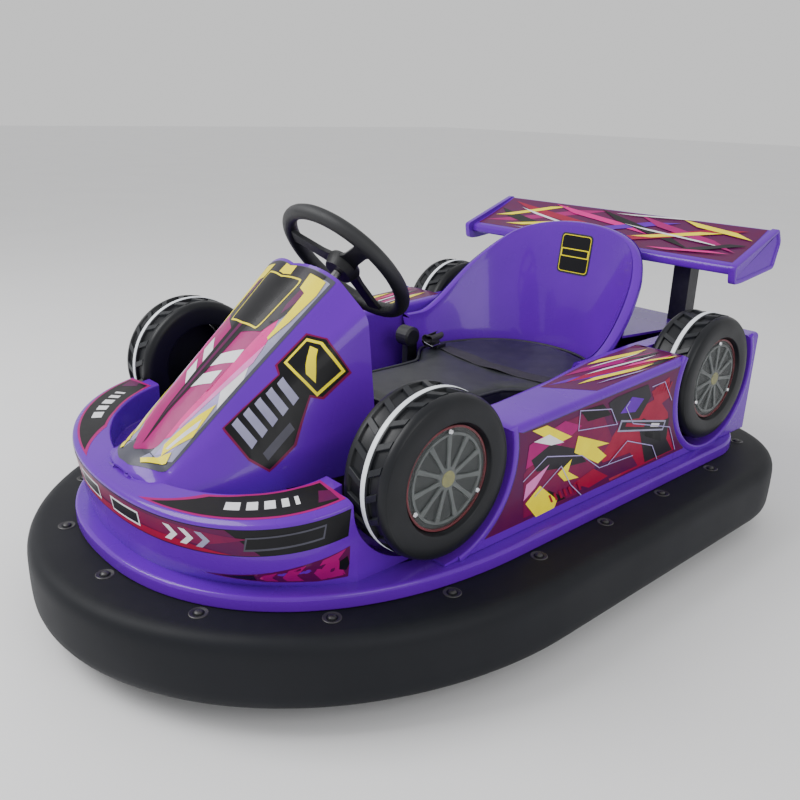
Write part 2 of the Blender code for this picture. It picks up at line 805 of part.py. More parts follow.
def make_cushion(paint):
    low = CUSHION_TOP - CUSHION_THICK
    levels = (
        (0.006, low),
        (0.0, low + 0.012),
        (0.0, CUSHION_TOP - 0.022),
        (0.012, CUSHION_TOP - 0.005),
        (0.030, CUSHION_TOP),
    )
    loops = [[(x, y, z) for x, y in cushion_outline(inset)] for inset, z in levels]
    loft("seat_cushion", loops, paint["vinyl"])


def make_seat_base(paint):
    """The box over the battery, with the board that carries the cushion."""
    top = CUSHION_TOP - CUSHION_THICK - GAP
    board = loft(
        "seat_base",
        [[(x, y, z) for x, y in cushion_outline(0.012)] for z in (top - SEAT_BOARD, top)],
        paint["black_plastic"],
    )
    outer = box(
        "seat_box_walls",
        (-SEAT_BOX_HALF, SEAT_BOX_FRONT_Y, FLOOR_Z),
        (SEAT_BOX_HALF, SEAT_BOX_REAR_Y, top - SEAT_BOARD / 2),
        None,
    )
    inner = box(
        "seat_box_hollow",
        (-SEAT_BOX_HALF + SEAT_BOX_WALL, SEAT_BOX_FRONT_Y + SEAT_BOX_WALL, FLOOR_Z - TUBE),
        (SEAT_BOX_HALF - SEAT_BOX_WALL, SEAT_BOX_REAR_Y - SEAT_BOX_WALL, top - SEAT_BOARD),
        None,
    )
    riser_half = SEAT_BASE_HALF - RUN_GAP
    riser_y = SEAT_MOUTH_Y + SEAT_BOX_WALL
    riser = box(
        "seat_riser",
        (-riser_half, riser_y, FLOOR_Z),
        (riser_half, riser_y + SEAT_BOX_WALL, top - SEAT_BOARD / 2),
        None,
    )
    join(board, outer, riser)
    cut(board, inner)


def make_battery(paint):
    margin = SEAT_BOX_WALL + 0.012
    box(
        "battery",
        (-SEAT_BOX_HALF + margin, SEAT_BOX_FRONT_Y + margin + 0.060, FLOOR_Z),
        (SEAT_BOX_HALF - margin, SEAT_BOX_REAR_Y - margin - 0.060, FLOOR_Z + 0.165),
        paint["battery_case"],
    )


# ---- Rear deck and wing -------------------------------------------------------------------
def make_rear_deck(paint):
    """A flat deck and its outer wall, round the seat's back from one side pod to the other."""
    limit = POD_SEAT_X - GAP
    high, low, wall = POD_TOP_REAR, BODY_FOOT_Z, DECK_WALL
    count = 21
    loops = []
    for i in range(count):
        angle = DECK_SPREAD * (2 * i / (count - 1) - 1)
        inner = seat_wall_point(angle, high, SEAT_WALL + DECK_GAP)
        reach = max(abs(math.sin(angle)) / math.sin(DECK_SPREAD), abs(math.cos(angle)) / DECK_BEND)
        outer_x = limit * math.sin(angle) / math.sin(DECK_SPREAD) / reach
        share = min(abs(math.cos(angle)) / DECK_BEND / reach, 1.0)
        outer_y = inner[1] + (DECK_REAR_Y - inner[1]) * share
        inner_x = max(min(inner[0], limit - DECK_GAP), DECK_GAP - limit)
        skin = toward((outer_x, outer_y), (inner_x, inner[1]), wall)
        loops.append(
            [
                (inner_x, inner[1], high - wall),
                (inner_x, inner[1], high),
                (outer_x, outer_y, high),
                (outer_x, outer_y, low),
                (*skin, low),
                (*skin, high - wall),
            ]
        )
    loft("rear_deck", loops, paint["gelcoat"])


def wing_z(y, below=0.0):
    """Height of the wing's top at y, less a depth below it."""
    return WING_FRONT_Z + WING_THICK / 2 + WING_RISE * (y - WING_FRONT_Y) / WING_CHORD - below


def wing_under(y):
    """Height of the wing's underside at y; it tapers towards the back."""
    share = (y - WING_FRONT_Y) / WING_CHORD
    return wing_z(y, WING_THICK * (1 - WING_TAPER * share))


def make_wing(paint):
    front, back = WING_FRONT_Y, WING_FRONT_Y + WING_CHORD
    section = rounded(
        [
            (front, wing_under(front), 0.004),
            (back, wing_under(back), 0.003),
            (back, wing_z(back), 0.003),
            (front, wing_z(front), 0.006),
        ],
        steps=2,
    )
    loops = [[(x, y, z) for y, z in section] for x in (-WING_HALF, WING_HALF)]
    loft("rear_wing", loops, paint["gelcoat"])
    for name, side in SIDES:
        make_end_plate(name, side, paint)
        make_post(name, side, paint)


def make_end_plate(name, side, paint):
    front, top = WING_FRONT_Y, wing_z(WING_FRONT_Y)
    corners = [(front + dy, top + dz, radius) for dy, dz, radius in END_PLATE_CORNERS]
    inner = side * (WING_HALF + GAP)
    loops = [
        [(x, y, z) for y, z in rounded(corners, steps=2)] for x in (inner, inner + side * END_PLATE)
    ]
    loft(f"wing_endplate_{name}", loops, paint["gelcoat"])


def make_post(name, side, paint):
    low = POD_TOP_REAR + GAP
    corners = [
        (side * POST_X + dx * POST_WIDTH / 2, POST_FRONT_Y + dy * POST_DEPTH)
        for dx, dy in ((-1, 0), (1, 0), (1, 1), (-1, 1))
    ]
    top = [(x, y, wing_under(y) - GAP * 1.5) for x, y in corners]
    loft(f"wing_post_{name}", [[(x, y, low) for x, y in corners], top], paint["black_steel"])


# ---- Show tyres ---------------------------------------------------------------------------
def make_show_tyres(paint):
    outer = TYRE_WIDTH
    lip = COVER_R + 0.003
    profile = [
        (0.0, 0.040),
        (0.0, TYRE_R - 0.012),
        (0.010, TYRE_R - 0.003),
        (0.026, TYRE_R),
        (outer - 0.022, TYRE_R),
        (outer - 0.006, TYRE_R - 0.004),
        (outer, TYRE_R - 0.012),
        (outer, lip + 0.004),
        (outer - COVER_RECESS, lip),
        (outer - COVER_RECESS, 0.040),
    ]
    cover = [
        (0.0, 0.030),
        (0.0, COVER_R),
        (COVER_THICK * 0.6, COVER_R),
        (COVER_THICK, COVER_R * 0.6),
        (COVER_THICK, 0.030),
    ]
    for end, y in (("front", FRONT_TYRE_Y), ("rear", REAR_TYRE_Y)):
        for name, side in SIDES:
            place = Vector((side * TYRE_BACK_X, y, TYRE_HUB_Z))
            tyre = turned(f"{end}_tyre_{name}", profile, paint["black_plastic"])
            aim(tyre, place, (side, 0, 0))
            face = place + Vector((side * (outer - COVER_RECESS + GAP), 0, 0))
            disc = turned(f"{end}_wheel_cover_{name}", cover, paint["clear_cover"])
            aim(disc, face, (side, 0, 0))


# ---- Chassis ------------------------------------------------------------------------------
def make_floor_pan(paint):
    pan = box(
        "floor_pan",
        (-PAN_HALF, PAN_FRONT_Y, PAN_TOP - PAN_THICK),
        (PAN_HALF, PAN_REAR_Y, PAN_TOP),
        paint["black_steel"],
    )
    wall_y = NOSE_TAIL_Y + GAP * 2
    half = POD_WELL_X - GAP
    wall = box(
        "toe_board_blank",
        (-half, wall_y, PAN_TOP - PAN_THICK / 2),
        (half, wall_y + PAN_THICK, WELL_Z),
        None,
    )
    join(pan, wall)


def make_chassis(paint):
    half = TUBE / 2
    reach = BUMPER_HALF - BUMPER_WIDTH - GAP * 2
    first = box(
        "chassis_frame",
        (-RAIL_X - half, PAN_FRONT_Y - TUBE, FRAME_BOTTOM),
        (-RAIL_X + half, PAN_REAR_Y + TUBE, FRAME_TOP),
        paint["black_steel"],
    )
    pieces = [
        (
            "rail_left",
            (RAIL_X - half, PAN_FRONT_Y - TUBE, FRAME_BOTTOM),
            (RAIL_X + half, PAN_REAR_Y + TUBE, FRAME_TOP),
        )
    ]
    for i, y in enumerate(CROSS_YS):
        pieces.append((f"cross_{i}", (-reach, y - half, FRAME_BOTTOM), (reach, y + half, FRAME_TOP)))
    for side_name, side in SIDES:
        low_x, high_x = side * RAIL_X - half, side * RAIL_X + half
        pieces.append(
            (
                f"front_upright_{side_name}",
                (low_x, PAN_FRONT_Y - TUBE, FRAME_BOTTOM),
                (high_x, PAN_FRONT_Y - GAP * 2, UPPER_FRAME_TOP),
            )
        )
        pieces.append(
            (
                f"front_arm_{side_name}",
                (low_x, DRIVE_Y - TURNTABLE_REACH, UPPER_FRAME_BOTTOM),
                (high_x, PAN_FRONT_Y - GAP * 2, UPPER_FRAME_TOP),
            )
        )
        pieces.append(
            (
                f"rear_upright_{side_name}",
                (low_x, PAN_REAR_Y + GAP * 2, FRAME_BOTTOM),
                (high_x, PAN_REAR_Y + TUBE, UPPER_FRAME_TOP),
            )
        )
        pieces.append(
            (
                f"rear_arm_{side_name}",
                (low_x, PAN_REAR_Y + GAP * 2, UPPER_FRAME_BOTTOM),
                (high_x, FLANGE_REAR - FLANGE_WIDTH - GAP, UPPER_FRAME_TOP),
            )
        )
    pieces.append(
        (
            "rear_beam",
            (-REAR_WHEEL_X - 0.070, REAR_WHEEL_Y - half, UPPER_FRAME_BOTTOM),
            (REAR_WHEEL_X + 0.070, REAR_WHEEL_Y + half, UPPER_FRAME_TOP),
        )
    )
    pieces.append(
        (
            "front_beam",
            (-RAIL_X, DRIVE_Y - TURNTABLE_REACH, UPPER_FRAME_BOTTOM),
            (RAIL_X, DRIVE_Y - TURNTABLE_REACH + TUBE, UPPER_FRAME_TOP),
        )
    )
    join(first, *[box(name, low, high, None) for name, low, high in pieces])


def make_turntable(paint):
    plate = box(
        "turntable_plate",
        (-RAIL_X - TUBE / 2, DRIVE_Y - TURNTABLE_REACH, TURNTABLE_Z),
        (RAIL_X + TUBE / 2, DRIVE_Y + TURNTABLE_REACH, TURNTABLE_Z + TURNTABLE_THICK),
        paint["black_steel"],
    )
    hole = turned("turntable_hole", [(0.0, PIVOT_R + RUN_GAP), (0.1, PIVOT_R + RUN_GAP)], None, 24)
    aim(hole, (0, DRIVE_Y, TURNTABLE_Z - 0.05), (0, 0, 1))
    cut(plate, hole)


def fork_sides(name, x, y, top, paint, with_crown):
    """Two upright plates either side of a road wheel, joined by a crown above it."""
    inner = ROAD_WHEEL_WIDTH / 2 + ROAD_WHEEL_SIDE_GAP
    low = ROAD_WHEEL_R - 0.030
    crown_half = inner + PLATE
    crown = box(
        name,
        (x - crown_half, y - CROWN_HALF, top - with_crown),
        (x + crown_half, y + CROWN_HALF, top),
        paint["black_steel"],
    )
    for tag, offset in (("inner", -inner - PLATE), ("outer", inner)):
        plate = box(
            f"{name}_{tag}",
            (x + offset, y - FORK_HALF, low),
            (x + offset + PLATE, y + FORK_HALF, top - with_crown / 2),
            None,
        )
        join(crown, plate)
    hole = turned(f"{name}_axle_hole", [(0.0, AXLE_R + RUN_GAP), (0.2, AXLE_R + RUN_GAP)], None, 20)
    aim(hole, (x - 0.1, y, ROAD_WHEEL_R), (1, 0, 0))
    cut(crown, hole)
    return crown


def make_drive_unit(paint):
    top = TURNTABLE_Z - CROWN_DROP
    fork = fork_sides("drive_fork", 0.0, DRIVE_Y, top, paint, 0.007)
    collar = turned("fork_collar", [(-0.003, COLLAR_R), (CROWN_DROP - GAP, COLLAR_R)], None, 24)
    aim(collar, (0, DRIVE_Y, top), (0, 0, 1))
    post = turned("fork_post", [(-0.003, PIVOT_R), (0.150, PIVOT_R)], None, 24)
    aim(post, (0, DRIVE_Y, top), (0, 0, 1))
    join(fork, collar, post)
    start = ROAD_WHEEL_WIDTH / 2 + ROAD_WHEEL_SIDE_GAP + PLATE + GAP
    motor = turned(
        "drive_motor",
        [
            (0.0, MOTOR_R - 0.020),
            (0.0, MOTOR_R),
            (MOTOR_LENGTH - 0.006, MOTOR_R),
            (MOTOR_LENGTH, MOTOR_R - 0.006),
            (MOTOR_LENGTH, MOTOR_R - 0.020),
        ],
        paint["black_steel"],
        24,
    )
    aim(motor, (start, DRIVE_Y, ROAD_WHEEL_R), (1, 0, 0))
    socket = turned("motor_socket", [(-0.01, AXLE_R + 0.004), (0.012, AXLE_R + 0.004)], None, 20)
    aim(socket, (start, DRIVE_Y, ROAD_WHEEL_R), (1, 0, 0))
    cut(motor, socket)


def make_road_wheel(tag, x, y, paint):
    half = ROAD_WHEEL_WIDTH / 2
    bore = ROAD_HUB_R + GAP
    rounded_tread = [
        (-half, bore),
        (-half, ROAD_WHEEL_R - 0.008),
        (-half + 0.006, ROAD_WHEEL_R),
        (half - 0.006, ROAD_WHEEL_R),
        (half, ROAD_WHEEL_R - 0.008),
        (half, bore),
    ]
    segments = 28
    loops = []
    for i in range(segments):
        angle = math.tau * i / segments
        loops.append(
            [(along, r * math.sin(angle), -r * math.cos(angle)) for along, r in rounded_tread]
        )
    tyre = loft(f"{tag}_tyre", loops, paint["road_rubber"], ring=True)
    tyre.location = (x, y, ROAD_WHEEL_R)
    reach = half + ROAD_WHEEL_SIDE_GAP + PLATE + 0.004
    hub = turned(
        f"{tag}_hub",
        [
            (-reach, AXLE_R),
            (-half - 0.004, AXLE_R),
            (-half - 0.004, 0.020),
            (-half + 0.006, 0.026),
            (-half + 0.006, ROAD_HUB_R * math.cos(math.pi / segments) - GAP),
            (half - 0.006, ROAD_HUB_R * math.cos(math.pi / segments) - GAP),
            (half - 0.006, 0.026),
            (half + 0.004, 0.020),
            (half + 0.004, AXLE_R),
            (reach, AXLE_R),
        ],
        paint["bare_steel"],
        segments,
    )
    hub.location = (x, y, ROAD_WHEEL_R)


def make_rear_wheels(paint):
    for name, side in SIDES:
        x = side * REAR_WHEEL_X
        make_road_wheel(f"rear_road_wheel_{name}", x, REAR_WHEEL_Y, paint)
        fork_sides(
            f"rear_wheel_bracket_{name}", x, REAR_WHEEL_Y, UPPER_FRAME_BOTTOM - GAP, paint, 0.008
        )


# ---- Steering -----------------------------------------------------------------------------
def make_steering_wheel(paint):
    points, faces = [], []
    around, across = 36, 10
    for i in range(around):
        angle = math.tau * i / around
        for j in range(across):
            turn = math.tau * j / across
            radius = WHEEL_R + WHEEL_TUBE_R * math.cos(turn)
            points.append(
                (WHEEL_TUBE_R * math.sin(turn), radius * math.cos(angle), radius * math.sin(angle))
            )
            after = (i + 1) % around * across
            faces.append(
                (i * across + j, i * across + (j + 1) % across, after + (j + 1) % across, after + j)
            )
    wheel = make_object("steering_wheel", points, faces, paint["foam"])
    hub = turned("wheel_hub", [(HUB_BACK, 0.034), (-0.008, 0.038), (0.004, 0.036)], None, 20)
    spokes = []
    for i, angle in enumerate(SPOKE_ANGLES):
        spoke = box(
            f"spoke_{i}",
            (SPOKE_BACK, -SPOKE_WIDTH / 2, 0.020),
            (SPOKE_FACE, SPOKE_WIDTH / 2, WHEEL_R - 0.004),
            None,
        )
        spoke.matrix_world = Matrix.Rotation(math.radians(angle + 90), 4, "X")
        spokes.append(spoke)
    holder = bpy.data.objects.new("steering_pivot", None)
    bpy.context.scene.collection.objects.link(holder)
    aim(holder, WHEEL_CENTRE, COLUMN_AXIS)
    for item in [wheel, hub] + spokes:
        item.parent = holder
    join(wheel, hub, *spokes)


def column_place(distance):
    """A point on the column's axis, that far below the steering wheel."""
    return WHEEL_CENTRE - COLUMN_AXIS * distance


def make_column(paint):
    run = SHAFT_LENGTH + HUB_BACK - GAP
    shaft = turned("steering_shaft", [(0.0, SHAFT_R), (run, SHAFT_R)], paint["bare_steel"], 20)
    aim(shaft, column_place(SHAFT_LENGTH), COLUMN_AXIS)
    profile = [(0.0, COLUMN_R), (COLUMN_LENGTH, COLUMN_R)]
    tube = turned("steering_column", profile, paint["black_steel"], 20)
    aim(tube, column_place(COLUMN_LOW), COLUMN_AXIS)
    height = WHEEL_CENTRE.z + (WEB_Y - WHEEL_CENTRE.y) * math.tan(COLUMN_ANGLE)
    web = box(
        "column_web",
        (-WEB_HALF, WEB_Y - WEB_THICK / 2, WELL_Z + GAP),
        (WEB_HALF, WEB_Y + WEB_THICK / 2, height),
        None,
    )
    half = COWL_FOOT_HALF - COWL_WALL - 0.012
    bridge = box(
        "column_bridge",
        (-half, WEB_Y - BRIDGE_DEPTH / 2, WELL_Z + GAP),
        (half, WEB_Y + BRIDGE_DEPTH / 2, WELL_Z + BRIDGE_THICK),
        None,
    )
    bore = turned("column_bore", [(-0.3, SHAFT_R + RUN_GAP), (0.5, SHAFT_R + RUN_GAP)], None, 20)
    aim(bore, column_place(COLUMN_LOW), COLUMN_AXIS)
    join(tube, web, bridge)
    cut(tube, bore)


def make_pedal(paint):
    y = NOSE_TAIL_Y + PEDAL_GAP_Y
    base = box(
        "accelerator_pedal",
        (PEDAL_X - PEDAL_BASE_HALF, y - 0.010, FLOOR_Z),
        (PEDAL_X + PEDAL_BASE_HALF, y + 0.030, FLOOR_Z + 0.012),
        paint["black_steel"],
    )
    tread = box(
        "pedal_tread",
        (PEDAL_X - PEDAL_TREAD_HALF, -PEDAL_TREAD_THICK / 2, 0.0),
        (PEDAL_X + PEDAL_TREAD_HALF, PEDAL_TREAD_THICK / 2, PEDAL_LENGTH),
        None,
    )
    foot = Matrix.Translation((0, y + 0.010, FLOOR_Z + 0.004))
    tread.matrix_world = foot @ Matrix.Rotation(PEDAL_ANGLE, 4, "X")
    join(base, tread)


# ---- Lap belt -----------------------------------------------------------------------------
def make_belt(paint):
    lift = CUSHION_TOP + GAP
    path = []
    start, end = BELT_END_X, BUCKLE_X + 0.040
    for i in range(BELT_STEPS + 1):
        x = start + (end - start) * i / BELT_STEPS
        path.append((x, BELT_Y - BELT_SAG * math.sin(math.pi * i / BELT_STEPS), lift))
    loops = []
    for x, y, z in path:
        loops.append(
            [
                (x, y - BELT_WIDTH / 2, z),
                (x, y + BELT_WIDTH / 2, z),
                (x, y + BELT_WIDTH / 2, z + BELT_THICK),
                (x, y - BELT_WIDTH / 2, z + BELT_THICK),
            ]
        )
    loft("belt_webbing", loops, paint["webbing"])
    reel_x = -SEAT_BASE_HALF + 0.011
    profile = [(-0.024, 0.020), (-0.020, 0.028), (0.020, 0.028), (0.024, 0.020)]
    reel = turned("belt_retractor", profile, paint["black_plastic"], 20)
    aim(reel, (reel_x, REEL_Y, CUSHION_TOP + REEL_RISE), (1, 0, 0))
    stay_y = SEAT_MOUTH_Y - GAP
    stay = box(
        "retractor_stay",
        (-SEAT_BASE_HALF - 0.023, 0.228, CUSHION_TOP - 0.100),
        (-CUSHION_HALF - 0.005, stay_y, CUSHION_TOP + 0.030),
        None,
    )
    join(reel, stay)
    box(
        "belt_buckle",
        (BUCKLE_X - BUCKLE_BACK, BELT_Y - 0.060, lift),
        (BUCKLE_X + BUCKLE_FRONT, BELT_Y + 0.010, lift + BUCKLE_THICK),
        paint["bare_steel"],
    )


def main():
    clear_scene()
    paint = make_materials()
    make_bumper(paint)
    make_base_shell(paint)
    make_nose(paint)
    make_cowl(paint)
    for name, side in SIDES:
        make_pod(name, side, paint)
    make_seat_shell(paint)
    make_cushion(paint)
    make_seat_base(paint)
    make_battery(paint)
    make_rear_deck(paint)
    make_wing(paint)
    make_show_tyres(paint)
    make_floor_pan(paint)
    make_chassis(paint)
    make_turntable(paint)
    make_drive_unit(paint)
    make_road_wheel("drive_wheel", 0.0, DRIVE_Y, paint)
    make_rear_wheels(paint)
    make_steering_wheel(paint)
    make_column(paint)
    make_pedal(paint)
    make_belt(paint)


main()
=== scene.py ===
# %% [markdown]
# # A battery bumper car
# This lesson dresses a plain engineering model of a bumper car. The real car is a glass-fibre
# body on a flat rubber bumper ring. Its four big wheels are moulded dummies with a light band,
# and it really rolls on three small wheels underneath.
# We load the plain model first, because every piece takes its place from it.

# %% Load the plain model
import math

import bmesh
import bpy
from mathutils import Matrix, Vector
from mathutils.bvhtree import BVHTree


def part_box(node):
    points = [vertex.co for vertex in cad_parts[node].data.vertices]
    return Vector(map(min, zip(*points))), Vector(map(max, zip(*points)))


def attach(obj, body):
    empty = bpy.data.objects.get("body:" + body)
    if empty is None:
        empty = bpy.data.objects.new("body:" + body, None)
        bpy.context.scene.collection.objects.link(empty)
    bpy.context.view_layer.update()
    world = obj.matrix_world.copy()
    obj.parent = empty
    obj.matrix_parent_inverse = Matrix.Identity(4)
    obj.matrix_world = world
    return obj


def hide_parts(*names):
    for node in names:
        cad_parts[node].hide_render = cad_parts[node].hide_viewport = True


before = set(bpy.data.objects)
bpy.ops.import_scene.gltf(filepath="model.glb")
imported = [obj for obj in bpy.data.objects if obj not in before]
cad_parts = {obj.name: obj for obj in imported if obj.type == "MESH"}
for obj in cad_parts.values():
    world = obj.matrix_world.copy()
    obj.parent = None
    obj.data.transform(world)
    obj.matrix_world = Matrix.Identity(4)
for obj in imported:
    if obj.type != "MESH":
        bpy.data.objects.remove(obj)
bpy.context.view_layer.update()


# %% [markdown]
# ## Helpers for meshes
# Most of the car is made of skins: rows of points joined by four-sided faces. One helper turns
# rows into a mesh, one rounds the corners of a path, and one names the body a piece rides on.
# Rounding each corner in the path is steadier than a Bevel modifier on long curved shells.

# %% Build a mesh from points and faces
def make_mesh(name, points, faces, materials, sharp=32, outward=True):
    mesh = bpy.data.meshes.new(name)
    mesh.from_pydata([tuple(point) for point in points], [], faces)
    shape = bmesh.new()
    shape.from_mesh(mesh)
    bmesh.ops.remove_doubles(shape, verts=shape.verts, dist=1e-6)
    if outward:
        bmesh.ops.recalc_face_normals(shape, faces=shape.faces)
        if all(edge.is_manifold for edge in shape.edges) and shape.calc_volume(signed=True) < 0:
            bmesh.ops.reverse_faces(shape, faces=shape.faces)
    shape.to_mesh(mesh)
    shape.free()
    mesh.shade_smooth()
    mesh.set_sharp_from_angle(angle=math.radians(sharp))
    piece = bpy.data.objects.new(name, mesh)
    bpy.context.scene.collection.objects.link(piece)
    for material in materials if isinstance(materials, list) else [materials]:
        mesh.materials.append(material)
    return piece


# %% Join rows of points into a skin
def skin(name, rows, material, wrap_rows=False, wrap_points=True, caps=True, sharp=32):
    size = len(rows[0])
    points = [point for row in rows for point in row]
    faces = []
    for row in range(len(rows) if wrap_rows else len(rows) - 1):
        start, after = row * size, (row + 1) % len(rows) * size
        for i in range(size if wrap_points else size - 1):
            j = (i + 1) % size
            faces.append((start + i, start + j, after + j, after + i))
    if caps and not wrap_rows:
        faces.append(tuple(range(size)))
        faces.append(tuple(range(len(points) - size, len(points))))
    return make_mesh(name, points, faces, material, sharp)


# %% Round the corners of a path
def rounded(corners, steps=5, closed=True):
    path = []
    for i, (point, reach) in enumerate(corners):
        here = Vector(point)
        if not reach or (not closed and i in (0, len(corners) - 1)):
            path.append(here)
            continue
        before = Vector(corners[i - 1][0])
        after = Vector(corners[(i + 1) % len(corners)][0])
        first = here + (before - here).normalized() * reach
        last = here + (after - here).normalized() * reach
        for step in range(steps + 1):
            t = step / steps
            path.append(first * (1 - t) ** 2 + here * (2 * t * (1 - t)) + last * t * t)
    return path


# %% Say what a piece rides on, and what it stands for
def dress(piece, body, slot, *nodes):
    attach(piece, body)
    if nodes:
        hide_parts(*nodes)
    return piece


# %% The word for a side: +1 is the car's left
def hand(side):
    return "left" if side > 0 else "right"


# %% Small number helpers
def blend(a, b, share):
    return a + (b - a) * share


def read_table(value, table):
    for (low, first), (high, last) in zip(table, table[1:]):
        if value <= high:
            return blend(first, last, (value - low) / (high - low))
    return table[-1][1]


def ease(value):
    value = min(max(value, 0.0), 1.0)
    return value * value * (3 - 2 * value)


# %% Apply every modifier on a piece
def settle(piece):
    graph = bpy.context.evaluated_depsgraph_get()
    done = bpy.data.meshes.new_from_object(piece.evaluated_get(graph))
    piece.modifiers.clear()
    piece.data = done
    return piece


# %% Cut a piece with others, then drop the cutters
def carve(piece, *cutters, sharp=32):
    for cutter in cutters:
        modifier = piece.modifiers.new("carve", "BOOLEAN")
        modifier.operation = "DIFFERENCE"
        modifier.object = cutter
    settle(piece)
    piece.data.shade_smooth()
    piece.data.set_sharp_from_angle(angle=math.radians(sharp))
    for cutter in cutters:
        bpy.data.objects.remove(cutter)
    return piece


# %% Turn a profile about a line
def turned(name, profile, material, centre, axis, segments=48, closed=False, sharp=32):
    """profile holds (distance along the axis, radius) pairs."""
    axis = Vector(axis).normalized()
    side = axis.orthogonal().normalized()
    other = axis.cross(side)
    rows = []
    for along, radius in profile:
        middle = Vector(centre) + axis * along
        rows.append(
            [
                middle
                + side * (radius * math.cos(math.tau * i / segments))
                + other * (radius * math.sin(math.tau * i / segments))
                for i in range(segments)
            ]
        )
    return skin(name, rows, material, wrap_rows=closed, sharp=sharp)


# %% [markdown]
# ## Shared effects as node groups
# Moulded plastic, rubber and vinyl are never one flat colour. Four effects return in the
# finishes here: a slow mottle, a fine grain, dust on faces that look up, and wear on edges.
# Each is a node group, built once and used with its own values, so one change reaches them all.

# %% Helpers that start a node group and add a node
def start_group(name, inputs, outputs):
    """inputs maps each title to its usual value, and outputs each title to its kind."""
    group = bpy.data.node_groups.new(name, "ShaderNodeTree")
    for title, value in inputs.items():
        kind = "NodeSocketColor" if isinstance(value, tuple) else "NodeSocketFloat"
        group.interface.new_socket(title, in_out="INPUT", socket_type=kind).default_value = value
    for title, kind in outputs.items():
        group.interface.new_socket(title, in_out="OUTPUT", socket_type="NodeSocket" + kind)
    start, end = group.nodes.new("NodeGroupInput"), group.nodes.new("NodeGroupOutput")
    return group, start.outputs, end.inputs


def join(tree, source, target):
    tree.links.new(source, target)


def add(tree, kind, inputs, **settings):
    """A new node. Each input takes a value, or a link where a socket is given."""
    node = tree.nodes.new("ShaderNode" + kind)
    for title, value in settings.items():
        setattr(node, title, value)
    for title, value in inputs.items():
        if isinstance(value, bpy.types.NodeSocket):
            join(tree, value, node.inputs[title])
        else:
            node.inputs[title].default_value = value
    return node


# %% Small nodes that several groups use
def object_place(tree):
    return add(tree, "TexCoord", {}).outputs["Object"]


def cloud(tree, scale, detail):
    inputs = {"Vector": object_place(tree), "Scale": scale, "Detail": detail}
    return add(tree, "TexNoise", inputs).outputs["Fac"]


def stretch(tree, value, low, high):
    """0 at low and 1 at high."""
    inputs = {"Value": value, "From Min": low, "From Max": high}
    return add(tree, "MapRange", inputs).outputs["Result"]


def times(tree, first, second):
    return add(tree, "Math", {0: first, 1: second}, operation="MULTIPLY").outputs["Value"]


def mixed(tree, share, first, second, kind="RGBA"):
    inputs = {"Factor": share, "A": first, "B": second}
    return add(tree, "Mix", inputs, data_type=kind).outputs["Result"]


# %% Mottle: a slow mix of two colours, with a mask for roughness
def make_mottle():
    colours = {"Colour": (0.5, 0.5, 0.5, 1), "Other colour": (0.4, 0.4, 0.4, 1)}
    inputs = {**colours, "Scale": 12.0, "Low": 0.35, "High": 0.65}
    outputs = {"Colour": "Color", "Roughness": "Float"}
    group, start, end = start_group("Mottle", inputs, outputs)
    share = stretch(group, cloud(group, start["Scale"], 4.0), 0.3, 0.7)
    shade = mixed(group, share, start["Colour"], start["Other colour"])
    rough = {"Value": share, "To Min": start["Low"], "To Max": start["High"]}
    join(group, shade, end["Colour"])
    join(group, add(group, "MapRange", rough).outputs["Result"], end["Roughness"])
    return group


# %% Grain: a fine pebble or cell pattern as a height
def make_grain():
    group, start, end = start_group("Grain", {"Scale": 400.0, "Cells": 0.5}, {"Height": "Float"})
    noise = cloud(group, start["Scale"], 3.0)
    inputs = {"Vector": object_place(group), "Scale": start["Scale"]}
    cells = add(group, "TexVoronoi", inputs).outputs["Distance"]
    join(group, mixed(group, start["Cells"], noise, cells, "FLOAT"), end["Height"])
    return group


# %% Dust: a pale film on faces that look up, broken by noise
def make_dust():
    colours = {"Colour": (0.5, 0.5, 0.5, 1), "Dust colour": (0.42, 0.40, 0.37, 1)}
    outputs = {"Colour": "Color", "Mask": "Float"}
    group, start, end = start_group("Dust", {**colours, "Amount": 0.15}, outputs)
    normal = add(group, "NewGeometry", {}).outputs["Normal"]
    height = add(group, "SeparateXYZ", {"Vector": normal}).outputs["Z"]
    film = stretch(group, cloud(group, 35.0, 6.0), 0.42, 0.72)
    amount = times(group, times(group, stretch(group, height, 0.4, 1.0), film), start["Amount"])
    join(group, mixed(group, amount, start["Colour"], start["Dust colour"]), end["Colour"])
    join(group, amount, end["Mask"])
    return group


# %% Edge wear: a mask where the surface bends sharply outwards
def make_wear():
    colours = {"Colour": (0.5, 0.5, 0.5, 1), "Worn colour": (0.7, 0.7, 0.7, 1)}
    group, start, end = start_group("Edge wear", {**colours, "Amount": 0.5}, {"Colour": "Color"})
    bend = stretch(group, add(group, "NewGeometry", {}).outputs["Pointiness"], 0.52, 0.64)
    amount = times(group, times(group, bend, cloud(group, 60.0, 2.0)), start["Amount"])
    join(group, mixed(group, amount, start["Colour"], start["Worn colour"]), end["Colour"])
    return group


GROUPS = {"mottle": make_mottle(), "grain": make_grain(), "dust": make_dust(), "wear": make_wear()}
print("node groups", sorted(GROUPS))


# %% [markdown]
# ## Finishes
# Every finish is a Principled BSDF with these groups in front of it. The values that are the
# same all over, such as the clear coat, are set on the shader's own sockets.

# %% A helper that makes one finish
PLAIN_GRAIN = (400, 0.5, 0.05)


